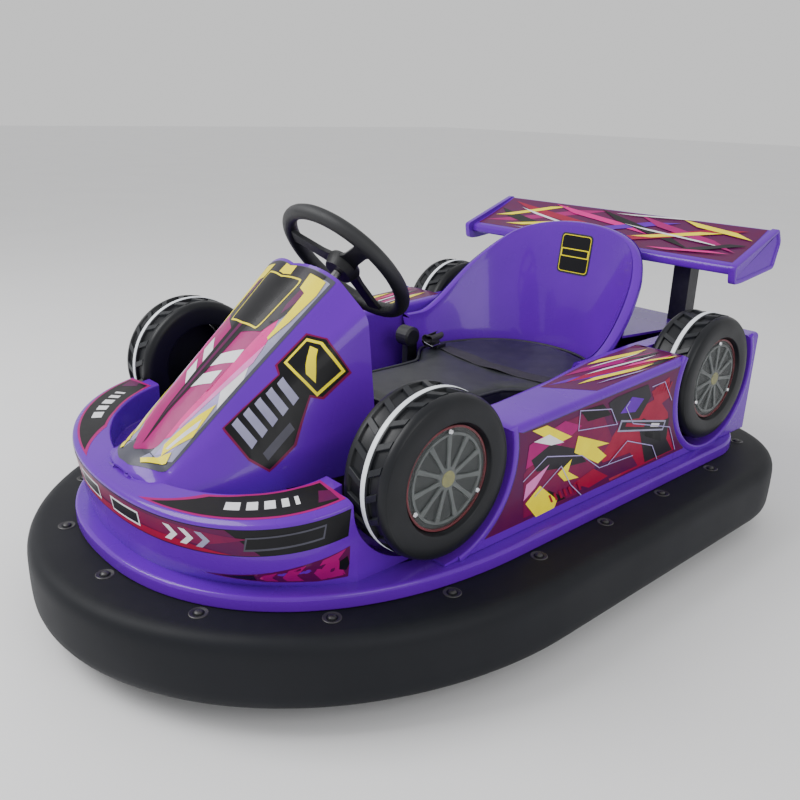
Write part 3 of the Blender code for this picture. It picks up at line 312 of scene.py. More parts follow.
def finish(
    name, colour, other, rough, grain=PLAIN_GRAIN, mottle=12.0, dust=0.0, wear=None, **plain
):
    """rough is (low, high); grain is (scale, share of cells, strength)."""
    material = bpy.data.materials.new(name)
    material.use_nodes = True
    tree = material.node_tree
    shader = tree.nodes["Principled BSDF"]
    for title, value in plain.items():
        shader.inputs[title.replace("_", " ").title().replace("Ior", "IOR")].default_value = value
    colours = {"Colour": (*colour, 1), "Other colour": (*other, 1)}
    inputs = {**colours, "Scale": mottle, "Low": rough[0], "High": rough[1]}
    patches = add(tree, "Group", inputs, node_tree=GROUPS["mottle"])
    join(tree, patches.outputs["Roughness"], shader.inputs["Roughness"])
    shade = patches.outputs["Colour"]
    if wear:
        inputs = {"Colour": shade, "Worn colour": (*wear, 1)}
        shade = add(tree, "Group", inputs, node_tree=GROUPS["wear"]).outputs["Colour"]
    if dust:
        inputs = {"Colour": shade, "Amount": dust}
        shade = add(tree, "Group", inputs, node_tree=GROUPS["dust"]).outputs["Colour"]
    join(tree, shade, shader.inputs["Base Color"])
    scale, cells, strength = grain
    pebbles = add(tree, "Group", {"Scale": scale, "Cells": cells}, node_tree=GROUPS["grain"])
    inputs = {"Height": pebbles.outputs["Height"], "Strength": strength, "Distance": 0.001}
    join(tree, add(tree, "Bump", inputs).outputs["Normal"], shader.inputs["Normal"])
    return material


# %% The finishes of the car
GELCOAT = finish(
    "violet gelcoat", (0.125, 0.0, 0.440), (0.105, 0.0, 0.385), (0.24, 0.30),
    grain=(55, 0.0, 0.10), mottle=6.0,
    coat_weight=0.30, coat_roughness=0.05, specular_ior_level=0.20,
)
RUBBER = finish(
    "bumper rubber", (0.0085, 0.0095, 0.0130), (0.0070, 0.0080, 0.0110), (0.50, 0.58),
    grain=(900, 0.6, 0.25), mottle=4.0, dust=0.004, wear=(0.022, 0.022, 0.026),
    specular_ior_level=0.20,
)
SHOW_TYRE = finish(
    "moulded tyre plastic", (0.0080, 0.0090, 0.0120), (0.0060, 0.0070, 0.0090), (0.34, 0.44),
    grain=(1100, 0.4, 0.12), mottle=16.0, dust=0.006, wear=(0.04, 0.045, 0.052),
    specular_ior_level=0.3,
)
BLACK_PLASTIC = finish(
    "black plastic", (0.0085, 0.0095, 0.0120), (0.0065, 0.0075, 0.0090), (0.38, 0.5),
    grain=(1300, 0.6, 0.2), wear=(0.06, 0.06, 0.07),
)
LIGHT_BAND = finish(
    "light band", (0.83, 0.86, 0.90), (0.76, 0.80, 0.86), (0.3, 0.4),
    grain=(500, 0.2, 0.05), emission_color=(0.9, 0.95, 1.0, 1), emission_strength=0.12,
)
SPOKE_GREY = finish(
    "spoke grey", (0.115, 0.125, 0.125), (0.085, 0.095, 0.095), (0.3, 0.45), mottle=40
)
COVER_DARK = finish(
    "cover backing", (0.009, 0.012, 0.012), (0.006, 0.008, 0.009), (0.35, 0.5), mottle=30
)
COVER_RED = finish(
    "cover edge red", (0.16, 0.012, 0.022), (0.10, 0.010, 0.016), (0.3, 0.4), mottle=30
)
EMBLEM = finish("hub emblem", (0.30, 0.29, 0.10), (0.20, 0.20, 0.08), (0.3, 0.5), mottle=90)
CHROME = finish(
    "chrome", (0.72, 0.73, 0.75), (0.62, 0.63, 0.66), (0.10, 0.2),
    grain=(900, 0.1, 0.03), metallic=1.0,
)
BLACK_STEEL = finish(
    "black painted steel", (0.020, 0.020, 0.023), (0.014, 0.014, 0.016), (0.35, 0.5),
    grain=(700, 0.7, 0.15), dust=0.06, wear=(0.16, 0.15, 0.14),
)
BARE_STEEL = finish(
    "bare steel", (0.42, 0.42, 0.43), (0.32, 0.31, 0.31), (0.28, 0.45),
    grain=(600, 0.1, 0.1), metallic=1.0,
)
ROAD_RUBBER = finish(
    "road rubber", (0.022, 0.022, 0.023), (0.032, 0.031, 0.030), (0.6, 0.8),
    grain=(800, 0.7, 0.4), dust=0.2,
)
FOAM = finish(
    "rim foam", (0.013, 0.014, 0.017), (0.010, 0.011, 0.013), (0.42, 0.55),
    grain=(1500, 0.8, 0.3), wear=(0.05, 0.05, 0.055),
)
VINYL = finish(
    "seat vinyl", (0.022, 0.025, 0.030), (0.017, 0.019, 0.023), (0.36, 0.46),
    grain=(620, 0.9, 0.35), mottle=10.0, dust=0.03,
)
BATTERY_CASE = finish(
    "battery case", (0.05, 0.055, 0.065), (0.04, 0.044, 0.052), (0.4, 0.55), grain=(500, 0.5, 0.2)
)


# %% Woven webbing, with ribs across the strap
def make_webbing():
    material = finish(
        "belt webbing", (0.034, 0.031, 0.040), (0.024, 0.022, 0.029), (0.6, 0.75), mottle=30
    )
    tree = material.node_tree
    inputs = {"Vector": object_place(tree), "Scale": 130.0, "Distortion": 0.6}
    ribs = add(tree, "TexWave", inputs, wave_profile="TRI")
    bump = next(node for node in tree.nodes if node.type == "BUMP")
    bump.inputs["Strength"].default_value = 0.5
    join(tree, ribs.outputs["Fac"], bump.inputs["Height"])
    return material


WEBBING = make_webbing()


# %% Clear plastic for the wheel covers
def make_clear():
    colours = ((0.20, 0.22, 0.22), (0.16, 0.18, 0.18))
    material = finish("clear cover", *colours, (0.06, 0.12), grain=(200, 0.0, 0.03))
    material.node_tree.nodes["Principled BSDF"].inputs["Alpha"].default_value = 0.07
    return material


CLEAR = make_clear()


# %% Printed vinyl inks for the stickers
def ink(name, colour, other=None):
    other = other or tuple(c * 0.86 for c in colour)
    return finish(
        "ink " + name, colour, other, (0.28, 0.36), grain=(160, 0.0, 0.06), mottle=30.0,
        coat_weight=0.05, coat_roughness=0.06, specular_ior_level=0.18,
    )


INKS = {
    "black": ink("black", (0.0065, 0.0065, 0.0085)),
    "charcoal": ink("charcoal", (0.018, 0.015, 0.022)),
    "grey": ink("grey", (0.075, 0.075, 0.10)),
    "silver": ink("silver", (0.33, 0.33, 0.47), (0.27, 0.26, 0.42)),
    "lavender": ink("lavender", (0.42, 0.36, 0.66), (0.36, 0.30, 0.60)),
    "white": ink("white", (0.84, 0.83, 0.88)),
    "magenta": ink("magenta", (0.36, 0.0, 0.145), (0.31, 0.0, 0.13)),
    "pink": ink("hot pink", (0.72, 0.004, 0.26), (0.64, 0.003, 0.23)),
    "rose": ink("rose", (0.80, 0.20, 0.56)),
    "plum": ink("plum", (0.085, 0.002, 0.065), (0.105, 0.002, 0.055)),
    "wine": ink("wine", (0.20, 0.002, 0.055), (0.15, 0.002, 0.06)),
    "crimson": ink("crimson", (0.34, 0.001, 0.040), (0.28, 0.001, 0.035)),
    "yellow": ink("yellow", (0.98, 0.84, 0.0), (0.92, 0.76, 0.0)),
    "violet": ink("violet", (0.125, 0.0, 0.440), (0.105, 0.0, 0.385)),
}
print(len(bpy.data.materials), "finishes in the file")


# %% [markdown]
# ## Camera, floor and light
# The camera is set before the looks, so that every later choice is judged from one place.
# The light is a plain studio: a pale floor, a bright sky and two soft panels. Large soft
# sources give the long smooth highlights that show a gelcoat's shape.

# %% The camera
def aim_camera(place, azimuth, elevation, roll, lens):
    camera = bpy.data.objects.new("camera", bpy.data.cameras.new("camera"))
    bpy.context.scene.collection.objects.link(camera)
    camera.data.lens = lens
    camera.data.sensor_width = 36
    around, above, tilt = (math.radians(v) for v in (azimuth, elevation, roll))
    back = Vector(
        (math.sin(around) * math.cos(above), -math.cos(around) * math.cos(above), math.sin(above))
    )
    level = Vector((math.cos(around), math.sin(around), 0))
    upright = back.cross(level)
    right = level * math.cos(tilt) + upright * math.sin(tilt)
    up = upright * math.cos(tilt) - level * math.sin(tilt)
    turn = Matrix((right, up, back)).transposed().to_4x4()
    camera.matrix_world = Matrix.Translation(place) @ turn
    bpy.context.scene.camera = camera


aim_camera((1.4214, -1.3259, 1.0414), 47.646, 19.679, 1.581, 37.18)


# %% The floor
def make_floor():
    paint = finish("pale floor", (0.86, 0.86, 0.87), (0.84, 0.84, 0.85), (0.55, 0.65), mottle=1.5)
    reach = 30.0
    corners = [(-reach, -reach, 0), (reach, -reach, 0), (reach, reach, 0), (-reach, reach, 0)]
    floor = make_mesh("floor", corners, [(0, 1, 2, 3)], paint, outward=False)


make_floor()


# %% The lights
def soft_panel(name, place, size, power, target=(0, 0, 0.3)):
    lamp = bpy.data.lights.new(name, "AREA")
    lamp.energy = power
    lamp.size = size
    lamp_object = bpy.data.objects.new(name, lamp)
    bpy.context.scene.collection.objects.link(lamp_object)
    lamp_object.location = place
    aim = Vector(target) - Vector(place)
    lamp_object.rotation_euler = aim.to_track_quat("-Z", "Y").to_euler()


world = bpy.data.worlds.new("studio")
bpy.context.scene.world = world
world.use_nodes = True
world.node_tree.nodes["Background"].inputs["Color"].default_value = (1.0, 1.0, 1.0, 1)
world.node_tree.nodes["Background"].inputs["Strength"].default_value = 0.85
soft_panel("key panel", (-1.6, -2.6, 3.4), 2.4, 150)
soft_panel("side panel", (3.4, -0.6, 2.2), 2.0, 35)


# %% [markdown]
# ## The plan of the car
# Bumper, flange and body foot are all the same kind of outline: half of a super-ellipse for
# the nose, straight sides, and rounded corners at the back. One function draws them all.

# %% Sizes read from the plain model
bumper_low, bumper_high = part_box("bumper_ring")
flange_low, flange_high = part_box("base_shell")
SHOULDER_Y = -0.150
BUMPER_HALF, BUMPER_FRONT, BUMPER_REAR = bumper_high[0], bumper_low[1], bumper_high[1]
BUMPER_BOTTOM, BUMPER_TOP, BUMPER_WIDTH = bumper_low[2], bumper_high[2], 0.135
FLANGE_HALF, FLANGE_FRONT, FLANGE_REAR = flange_high[0], flange_low[1], flange_high[1]
FLANGE_BOTTOM, FOOT_Z, FLANGE_WIDTH = flange_low[2], flange_high[2], 0.070
print("flange half width", round(FLANGE_HALF, 3), "foot height", round(FOOT_Z, 3))


# %% Nose curve and plan outline
def nose_point(half, depth, power, y, angle):
    across = math.copysign(abs(math.sin(angle)) ** (2 / power), angle)
    return half * across, y - depth * abs(math.cos(angle)) ** (2 / power)


def plan_outline(half, front, rear, corner, power, nose_count=121, corner_steps=20, side_steps=24):
    depth = SHOULDER_Y - front
    outline = [
        nose_point(half, depth, power, SHOULDER_Y, math.pi * (i / (nose_count - 1) - 0.5))
        for i in range(nose_count)
    ]
    centre_y = rear - corner
    left = [
        (half, blend(SHOULDER_Y, centre_y, i / side_steps)) for i in range(1, side_steps)
    ]
    for i in range(corner_steps + 1):
        angle = math.pi / 2 * i / corner_steps
        left.append(
            (half - corner + corner * math.cos(angle), centre_y + corner * math.sin(angle))
        )
    return outline + left + [(-x, y) for x, y in reversed(left)]


def sweep(name, outline, section, material):
    """Carries a section of (inset, z) points round a closed outline."""
    rows = []
    for i, here in enumerate(outline):
        along = (Vector(outline[(i + 1) % len(outline)]) - Vector(outline[i - 1])).normalized()
        rows.append(
            [(here[0] - along.y * inset, here[1] + along.x * inset, z) for inset, z in section]
        )
    return skin(name, rows, material, wrap_rows=True)


# %% [markdown]
# ## Bumper ring and flange
# The bumper is a thick ring of dull rubber round an air or foam core, with a nearly upright
# side and soft edges. The violet flange sits on it and carries the body.

# %% The bumper ring
bumper_outline = plan_outline(BUMPER_HALF, BUMPER_FRONT, BUMPER_REAR, 0.300, 2.0)
bumper_section = rounded(
    [
        ((0.003, BUMPER_BOTTOM), 0.040),
        ((0.0, (BUMPER_BOTTOM + BUMPER_TOP) / 2), 0.030),
        ((0.002, BUMPER_TOP), 0.036),
        ((BUMPER_WIDTH, BUMPER_TOP), 0.006),
        ((BUMPER_WIDTH, BUMPER_BOTTOM), 0.010),
    ],
    steps=7,
)
bumper = sweep("bumper_skin", bumper_outline, bumper_section, RUBBER)
dress(bumper, "car_body", "bumper_rubber", "bumper_ring")

# %% The flange
flange_outline = plan_outline(FLANGE_HALF, FLANGE_FRONT, FLANGE_REAR, 0.200, 2.3)
flange_section = rounded(
    [
        ((0.0, FLANGE_BOTTOM), 0.004),
        ((0.0, FOOT_Z), 0.009),
        ((FLANGE_WIDTH, FOOT_Z), 0.003),
        ((FLANGE_WIDTH, FLANGE_BOTTOM), 0.003),
    ],
    steps=6,
)
flange = sweep("flange_skin", flange_outline, flange_section, GELCOAT)
dress(flange, "car_body", "gelcoat", "base_shell")
print("bumper and flange", len(bumper.data.polygons) + len(flange.data.polygons), "faces")


# %% [markdown]
# Round the flange runs a row of flat-headed bolts with dished washers, which clamp the rubber
# to the frame. They follow the flange's outline, so the spacing is measured along it.

# %% Walk along a closed outline at an even pitch
def pace(outline, pitch, inset):
    lengths = [0.0]
    for i in range(len(outline)):
        step = Vector(outline[(i + 1) % len(outline)]) - Vector(outline[i])
        lengths.append(lengths[-1] + step.length)
    count = round(lengths[-1] / pitch)
    places = []
    for k in range(count):
        goal = lengths[-1] * (k + 0.5) / count
        i = max(j for j, length in enumerate(lengths[:-1]) if length <= goal)
        here, after = Vector(outline[i]), Vector(outline[(i + 1) % len(outline)])
        along = (after - here).normalized()
        middle = here.lerp(after, (goal - lengths[i]) / max(lengths[i + 1] - lengths[i], 1e-9))
        places.append((middle.x - along.y * inset, middle.y + along.x * inset))
    return places


# %% Bolts and washers
def bolt_profile():
    return [
        (-0.002, 0.001), (-0.002, 0.0175), (0.0004, 0.0178), (0.0014, 0.0165), (0.0006, 0.0125),
        (-0.0004, 0.0100), (-0.0002, 0.0082), (0.0022, 0.0078), (0.0042, 0.0058), (0.0050, 0.0030),
        (0.0051, 0.0009),
    ]


def gather(name, parts, body, slot, *nodes):
    """Joins several pieces into one object."""
    with bpy.context.temp_override(active_object=parts[0], selected_editable_objects=parts):
        bpy.ops.object.join()
    parts[0].name = name
    return dress(parts[0], body, slot, *nodes)


BOLT_PITCH, BOLT_OUTSET = 0.222, 0.021
bolts = [
    turned("bolt", bolt_profile(), BLACK_STEEL, (x, y, BUMPER_TOP), (0, 0, 1), segments=24)
    for x, y in pace(flange_outline, BOLT_PITCH, -BOLT_OUTSET)
]
gather("bumper_bolts", bolts, "car_body", "black_steel")
print(len(bolts), "bolts round the flange")


# %% [markdown]
# ## The nose
# The nose is one moulding: a leaning band with a rounded lip, a narrow ledge, and a sunken
# well round the hood. Each station of it is the same kind of curve in plan, so the rows of
# the skin run from foot to lip to well, and every row is rounded before the skin is made.

# %% Shape of the nose
NOSE_REAR_Y, NOSE_DEPTH = -0.505, 0.283
NOSE_TOP_REAR, NOSE_TOP_FRONT = 0.405, 0.362
BAND_HEIGHT = 0.075
TAIL_Y = -0.352
WELL_Z = 0.330
NOSE_PLANS = {
    "foot": (0.486, 0.621, 2.3, SHOULDER_Y),
    "band": (0.424, 0.271, 2.2, NOSE_REAR_Y),
    "edge": (0.436, NOSE_DEPTH, 2.2, NOSE_REAR_Y),
    "ledge": (0.325, 0.220, 2.0, NOSE_REAR_Y),
    "bay": (0.185, 0.175, 2.0, NOSE_REAR_Y),
}


def nose_plan(plan, share):
    """A point on one plan curve; share runs from -1 on the right to 1 on the left."""
    half, depth, power, y = NOSE_PLANS[plan]
    behind = max(y - NOSE_REAR_Y, 0)
    limit = math.acos((behind / depth) ** (power / 2))
    return Vector(nose_point(half, depth, power, y, limit * share))


def nose_top(y):
    share = (NOSE_REAR_Y - y) / NOSE_DEPTH
    return blend(NOSE_TOP_REAR, NOSE_TOP_FRONT, min(max(share, 0), 1))


def nose_row(share):
    foot, band = nose_plan("foot", share), nose_plan("band", share)
    edge, ledge, bay = nose_plan("edge", share), nose_plan("ledge", share), nose_plan("bay", share)
    low_z, high_z = nose_top(band.y) - BAND_HEIGHT, nose_top(edge.y)
    waist, lip = foot.lerp(band, 0.75), band.lerp(edge, 0.9)
    return rounded(
        [
            ((*foot, FOOT_Z), 0),
            ((*waist, (FOOT_Z + low_z) / 2), 0.012),
            ((*band, low_z), 0.012),
            ((*lip, high_z - 0.007), 0.006),
            ((*edge.lerp(ledge, 0.15), high_z), 0.0045),
            ((*ledge, nose_top(ledge.y)), 0.007),
            ((*ledge, WELL_Z), 0.006),
            ((*bay, WELL_Z), 0.004),
            ((*bay, FOOT_Z), 0),
        ],
        steps=6,
        closed=False,
    )


# %% A drum lying across the car, used to cut the wheel arches
FRONT_Y, REAR_Y, HUB_Z, ARCH_R = -0.352, 0.595, 0.412, 0.175


def drum(centre_y, side, reach=0.2):
    profile = [(0, 0.002), (0, ARCH_R), (reach, ARCH_R), (reach, 0.002)]
    return turned("drum", profile, [], (0.3753 * side, centre_y, HUB_Z), (side, 0, 0), 96)


# %% Nose skin, its two tails, and the arches
def make_nose():
    rows = [nose_row(i / 80 - 1) for i in range(161)]
    nose = skin("nose_skin", rows, GELCOAT)
    carve(nose, drum(FRONT_Y, 1), drum(FRONT_Y, -1))
    parts = [nose]
    for side in (1, -1):
        outer = [p for p in nose_row(1) if p.x > 0.4 and p.z < WELL_Z]
        section = [(p.x, p.z) for p in outer] + [(0.33, outer[-1].z), (0.33, FOOT_Z)]
        rows = [[(side * x, y, z) for x, z in section] for y in (NOSE_REAR_Y - 0.0005, TAIL_Y)]
        parts.append(carve(skin("tail", rows, GELCOAT), drum(FRONT_Y, side)))
    return gather("nose_skin", parts, "car_body", "gelcoat", "nose_shell")


nose = make_nose()
print("nose", len(nose.data.polygons), "faces")


# %% [markdown]
# ## The hood
# The hood rises from a narrow tip to the steering wheel. Its top is arched between two round
# shoulders, and its sides spread to a wide foot. It is a thin shell, open towards the driver.

# %% Shape of the hood
HOOD_TIP_Y, HOOD_NOSE_Y, HOOD_REAR_Y = -0.750, -0.700, -0.300
HOOD_NOSE_HALF, HOOD_TOP_HALF = 0.094, 0.122
HOOD_NOSE_Z, HOOD_TOP_Z = 0.380, 0.7185
HOOD_SLOPE = (HOOD_TOP_Z - HOOD_NOSE_Z) / (HOOD_REAR_Y - HOOD_NOSE_Y)
HOOD_LEAN = 0.040


def hood_share(y):
    """0 at the nose of the hood and 1 at its rear edge."""
    return min(max((HOOD_NOSE_Y - y) / (HOOD_NOSE_Y - HOOD_REAR_Y), 0), 1)


def hood_lean(y, x, shoulder):
    """How far the rear edge runs forward at x, most in the middle."""
    return HOOD_LEAN * hood_share(y) ** 2 * max(1 - abs(x) / shoulder, 0)


def hood_section(y):
    """Shoulder half width and height, crown, side half width and drop, foot, knee and low."""
    share = hood_share(y)
    half = blend(HOOD_NOSE_HALF, HOOD_TOP_HALF, share**1.6)
    height = blend(HOOD_NOSE_Z, HOOD_TOP_Z, share)
    crown = 0.030 + 0.010 * min((y - HOOD_NOSE_Y) / 0.060, 1)
    foot, low = 0.138 + 0.086 * math.sin(math.pi / 2 * share), 0.3303
    if y < HOOD_NOSE_Y:
        past = (HOOD_NOSE_Y - y) / (HOOD_NOSE_Y - HOOD_TIP_Y)
        taper = math.sqrt(max(1 - past**2, 0.04))
        half, height, crown = HOOD_NOSE_HALF * taper, HOOD_NOSE_Z - 0.004 * past, 0.030 * taper**2
        foot, low = 0.138 * blend(1.0, 0.8, past) * taper, 0.3675 - 0.03 * (1 - past) ** 3
    shoulder = half + 0.074 * share + 0.008 * (1 - share)
    drop = min(0.070 * share + 0.004, (height - low) / 2)
    return half, height, crown, shoulder, drop, foot, low + 0.30 * (height - drop - low), low


def hood_row(y):
    half, height, crown, shoulder, drop, foot, knee, low = hood_section(y)
    bend = min(0.030, half * 0.2, 0.47 * math.hypot(shoulder - half, drop))
    left = [((half * k / 8, y, height + crown * (1 - (k / 8) ** 2)), 0) for k in range(1, 8)]
    left += [
        ((half, y, height), bend * 0.4),
        ((shoulder, y, height - drop), bend),
        ((foot, y, knee), min(0.02, (knee - low) * 0.8 + 0.001)),
        ((foot, y, low), 0),
    ]
    right = [((-x, py, z), reach) for (x, py, z), reach in reversed(left)]
    row = rounded(right + [((0, y, height + crown), 0)] + left, steps=6, closed=False)
    for point in row:
        back = hood_lean(y, point.x, shoulder)
        point.y -= back
        point.z -= HOOD_SLOPE * back
    return row


def make_hood():
    ys = [HOOD_TIP_Y + 0.050 * (1 - math.cos(math.pi / 2 * i / 10)) for i in range(10)]
    ys += [blend(HOOD_NOSE_Y, HOOD_REAR_Y, i / 44) for i in range(45)]
    hood = skin("hood_skin", [hood_row(y) for y in ys], GELCOAT, wrap_points=False, caps=False)
    wall = hood.modifiers.new("wall", "SOLIDIFY")
    wall.thickness, wall.offset = 0.005, -1
    settle(hood).data.set_sharp_from_angle(angle=math.radians(40))
    return dress(hood, "car_body", "gelcoat", "cowl_shell")


hood = make_hood()
print("hood", len(hood.data.polygons), "faces")


# %% [markdown]
# ## The side pods
# Each pod is a long box with round edges. Its outer face is nearly flat, which is where the
# big stickers go. Its top rises behind the front wheel. Both wheels bite into it, and a
# rounded lip follows each arch.

# %% Shape of a pod
GAP = 0.0003
POD_OUT_X, POD_STEP_Y, PAN_TOP = 0.488, 0.4405, 0.134
POD_TOP = [(-0.352, 0.400), (-0.250, 0.405), (-0.186, 0.467), (0.430, 0.497), (0.800, 0.500)]
POD_INNER = [
    (-0.352, 0.350), (-0.186, 0.364), (-0.100, 0.366), (0.080, 0.356), (0.265, 0.3283),
    (0.800, 0.3283),
]


def pod_row(y):
    top, inner = read_table(y, POD_TOP), read_table(y, POD_INNER)
    step = read_table(y, [(-0.352, 0.429), (0.265, 0.4495), (0.8, 0.4495)])
    low = PAN_TOP if y < POD_STEP_Y else FOOT_Z + GAP
    base = [((step, FOOT_Z + GAP), 0), ((step, low), 0.002)] if low < FOOT_Z else []
    corners = [((POD_OUT_X, top), 0.013), ((POD_OUT_X, FOOT_Z + GAP), 0.003), *base]
    corners += [((inner, low), 0.002), ((inner, top), 0.016)]
    return [(p.x, y, p.y) for p in rounded(corners, steps=6)]


def make_pod(side):
    name = hand(side)
    parts = []
    for start, end in ((-0.351, 0.440), (0.441, 0.800)):
        steps = 60 if start < 0 else 12
        rows = [pod_row(blend(start, end, i / steps)) for i in range(steps + 1)]
        rows = [[(side * x, y, z) for x, y, z in row] for row in rows]
        parts.append(skin("pod", rows, GELCOAT))
    for part in parts:
        carve(part, drum(FRONT_Y, side), drum(REAR_Y, side))
    for centre, first, last in ((FRONT_Y, -78, 17), (REAR_Y, -208, 28)):
        parts.append(arch_lip(centre, side, first, last))
    return gather("pod_skin_" + name, parts, "car_body", "gelcoat", "side_pod_" + name)


# %% The lip round an arch
def arch_lip(centre_y, side, first, last):
    corners = [((0.0, -0.008), 0), ((0.0, 0.0045), 0.005)]
    corners += [((0.014, 0.0045), 0.006), ((0.018, -0.002), 0)]
    section = rounded(corners, 5, closed=False)
    rows = []
    for i in range(61):
        angle = math.radians(blend(first, last, i / 60))
        out = Vector((0, math.cos(angle), math.sin(angle)))
        rows.append(
            [
                Vector((side * (POD_OUT_X + lift), centre_y, HUB_Z)) + out * (ARCH_R + across)
                for across, lift in section
            ]
        )
    return skin("lip", rows, GELCOAT)


pods = {side: make_pod(side) for side in (1, -1)}
print("pods", [len(pod.data.polygons) for pod in pods.values()], "faces")


# %% [markdown]
# ## The show wheels
# These wheels never turn. Each is a moulded tyre with two rows of pockets between slanted
# ribs, a white light band round the middle, and a clear cover over a printed spoke disc.

# %% Turned body of a tyre
TYRE_BACK, TYRE_FACE, BAND_X = 0.3756, 0.4971, 0.4395
RIBS = 21


def make_tyre(name, side, centre_y):
    centre = (0, centre_y, HUB_Z)
    profile = rounded(
        [
            ((TYRE_BACK, 0.102), 0.004),
            ((TYRE_BACK, 0.150), 0.010),
            ((TYRE_BACK + 0.012, 0.1585), 0.004),
            ((TYRE_BACK + 0.022, 0.1590), 0.001),
            ((TYRE_BACK + 0.024, 0.1535), 0.001),
            ((BAND_X - 0.0105, 0.1535), 0.001),
            ((BAND_X - 0.0095, 0.1600), 0.001),
            ((BAND_X + 0.0095, 0.1600), 0.001),
            ((BAND_X + 0.0105, 0.1535), 0.001),
            ((TYRE_FACE - 0.024, 0.1535), 0.001),
            ((TYRE_FACE - 0.022, 0.1590), 0.003),
            ((TYRE_FACE - 0.006, 0.1560), 0.010),
            ((TYRE_FACE, 0.140), 0.012),
            ((TYRE_FACE - 0.002, 0.1080), 0.002),
            ((TYRE_FACE - 0.0085, 0.1055), 0.002),
            ((TYRE_FACE - 0.0145, 0.102), 0.002),
        ],
        steps=3,
    )
    profile = [(p.x, p.y) for p in profile]
    body = turned(name, profile, SHOW_TYRE, centre, (side, 0, 0), 96, closed=True, sharp=40)
    return [body] + [
        make_rib(side, centre_y, low, high, math.tau * (i + shift) / RIBS, lean)
        for low, high, shift, lean in (
            (TYRE_BACK + 0.022, BAND_X - 0.0095, 0.0, 0.045),
            (BAND_X + 0.0095, TYRE_FACE - 0.022, 0.5, -0.045),
        )
        for i in range(RIBS)
    ]


# %% One slanted rib between two pockets
def make_rib(side, centre_y, low, high, angle, lean):
    rows = []
    for x, turn in ((low, angle - lean), (high, angle + lean)):
        row = []
        for radius, wide in ((0.1525, 0.052), (0.1590, 0.042), (0.1598, 0.036)):
            row.append((radius, turn - wide))
        row += [(radius, 2 * turn - a) for radius, a in reversed(row)]
        rows.append(
            [(side * x, centre_y + r * math.cos(a), HUB_Z + r * math.sin(a)) for r, a in row]
        )
    return skin("rib", rows, SHOW_TYRE)


# %% Light band, disc, spokes, screws and cover
COVER_X = TYRE_FACE - 0.0135
SPOKES, SPOKE_LEVELS = 11, ((0.020, 0.0052), (0.050, 0.0040), (0.084, 0.0062))
SCREW_ANGLES, SCREW_REACH = (90, -30, -150), 0.0915


def ring(name, material, side, centre_y, points, segments=96):
    centre, out = (0, centre_y, HUB_Z), (side, 0, 0)
    return turned(name, points, material, centre, out, segments, closed=True, sharp=40)


def make_spoke(side, centre_y, angle):
    face, back = TYRE_FACE - 0.0095, TYRE_FACE - 0.0118
    rows = []
    for radius, wide in SPOKE_LEVELS:
        out = Vector((0, math.cos(angle), math.sin(angle)))
        across = Vector((0, -math.sin(angle), math.cos(angle)))
        middle = Vector((0, centre_y, HUB_Z)) + out * radius
        rows.append(
            [
                middle + across * w + Vector((side * x, 0, 0))
                for w, x in ((-wide, back), (-wide * 0.8, face), (wide * 0.8, face), (wide, back))
            ]
        )
    return skin("spoke", rows, SPOKE_GREY)


def make_screw(side, centre_y, degrees):
    angle = math.radians(degrees)
    across, up = SCREW_REACH * math.cos(angle), SCREW_REACH * math.sin(angle)
    place = (0, centre_y + across, HUB_Z + up)
    dome = [(0.003, 0.0005), (0.003, 0.0058), (0.0050, 0.0056), (0.0068, 0.0040), (0.0074, 0.0005)]
    dome = [(COVER_X + rise, radius) for rise, radius in dome]
    return turned("screw", dome, CHROME, place, (side, 0, 0), 20)


def make_cover(side, centre_y):
    """The printed disc behind the clear lens; each profile is (rise over the disc, radius)."""
    centre, out = (0, centre_y, HUB_Z), (side, 0, 0)
    disc = [(-0.004, 0.0008), (-0.004, 0.1015), (0, 0.1015), (0, 0.0008)]
    edge = [(0, 0.0965), (0, 0.1013), (0.0030, 0.1010), (0.0034, 0.0970)]
    rim = [(0, 0.0820), (0, 0.0880), (0.0032, 0.0874), (0.0032, 0.0826)]
    hub = [(0, 0.0008), (0, 0.0235), (0.0035, 0.0215), (0.0042, 0.0008)]
    mark = [(0.003, 0.0008), (0.003, 0.0165), (0.0048, 0.0155), (0.0052, 0.0008)]
    disc, edge, rim, hub, mark = (
        [(COVER_X + rise, radius) for rise, radius in profile]
        for profile in (disc, edge, rim, hub, mark)
    )
    parts = [
        turned("cover", disc, COVER_DARK, centre, out, 96),
        ring("edge", COVER_RED, side, centre_y, edge),
        ring("rim", SPOKE_GREY, side, centre_y, rim),
        turned("hub", hub, SPOKE_GREY, centre, out, 48),
        turned("mark", mark, EMBLEM, centre, out, 48),
    ]
    parts += [
        make_spoke(side, centre_y, math.tau * i / SPOKES + math.pi / 2) for i in range(SPOKES)
    ]
    return parts + [make_screw(side, centre_y, degrees) for degrees in SCREW_ANGLES]


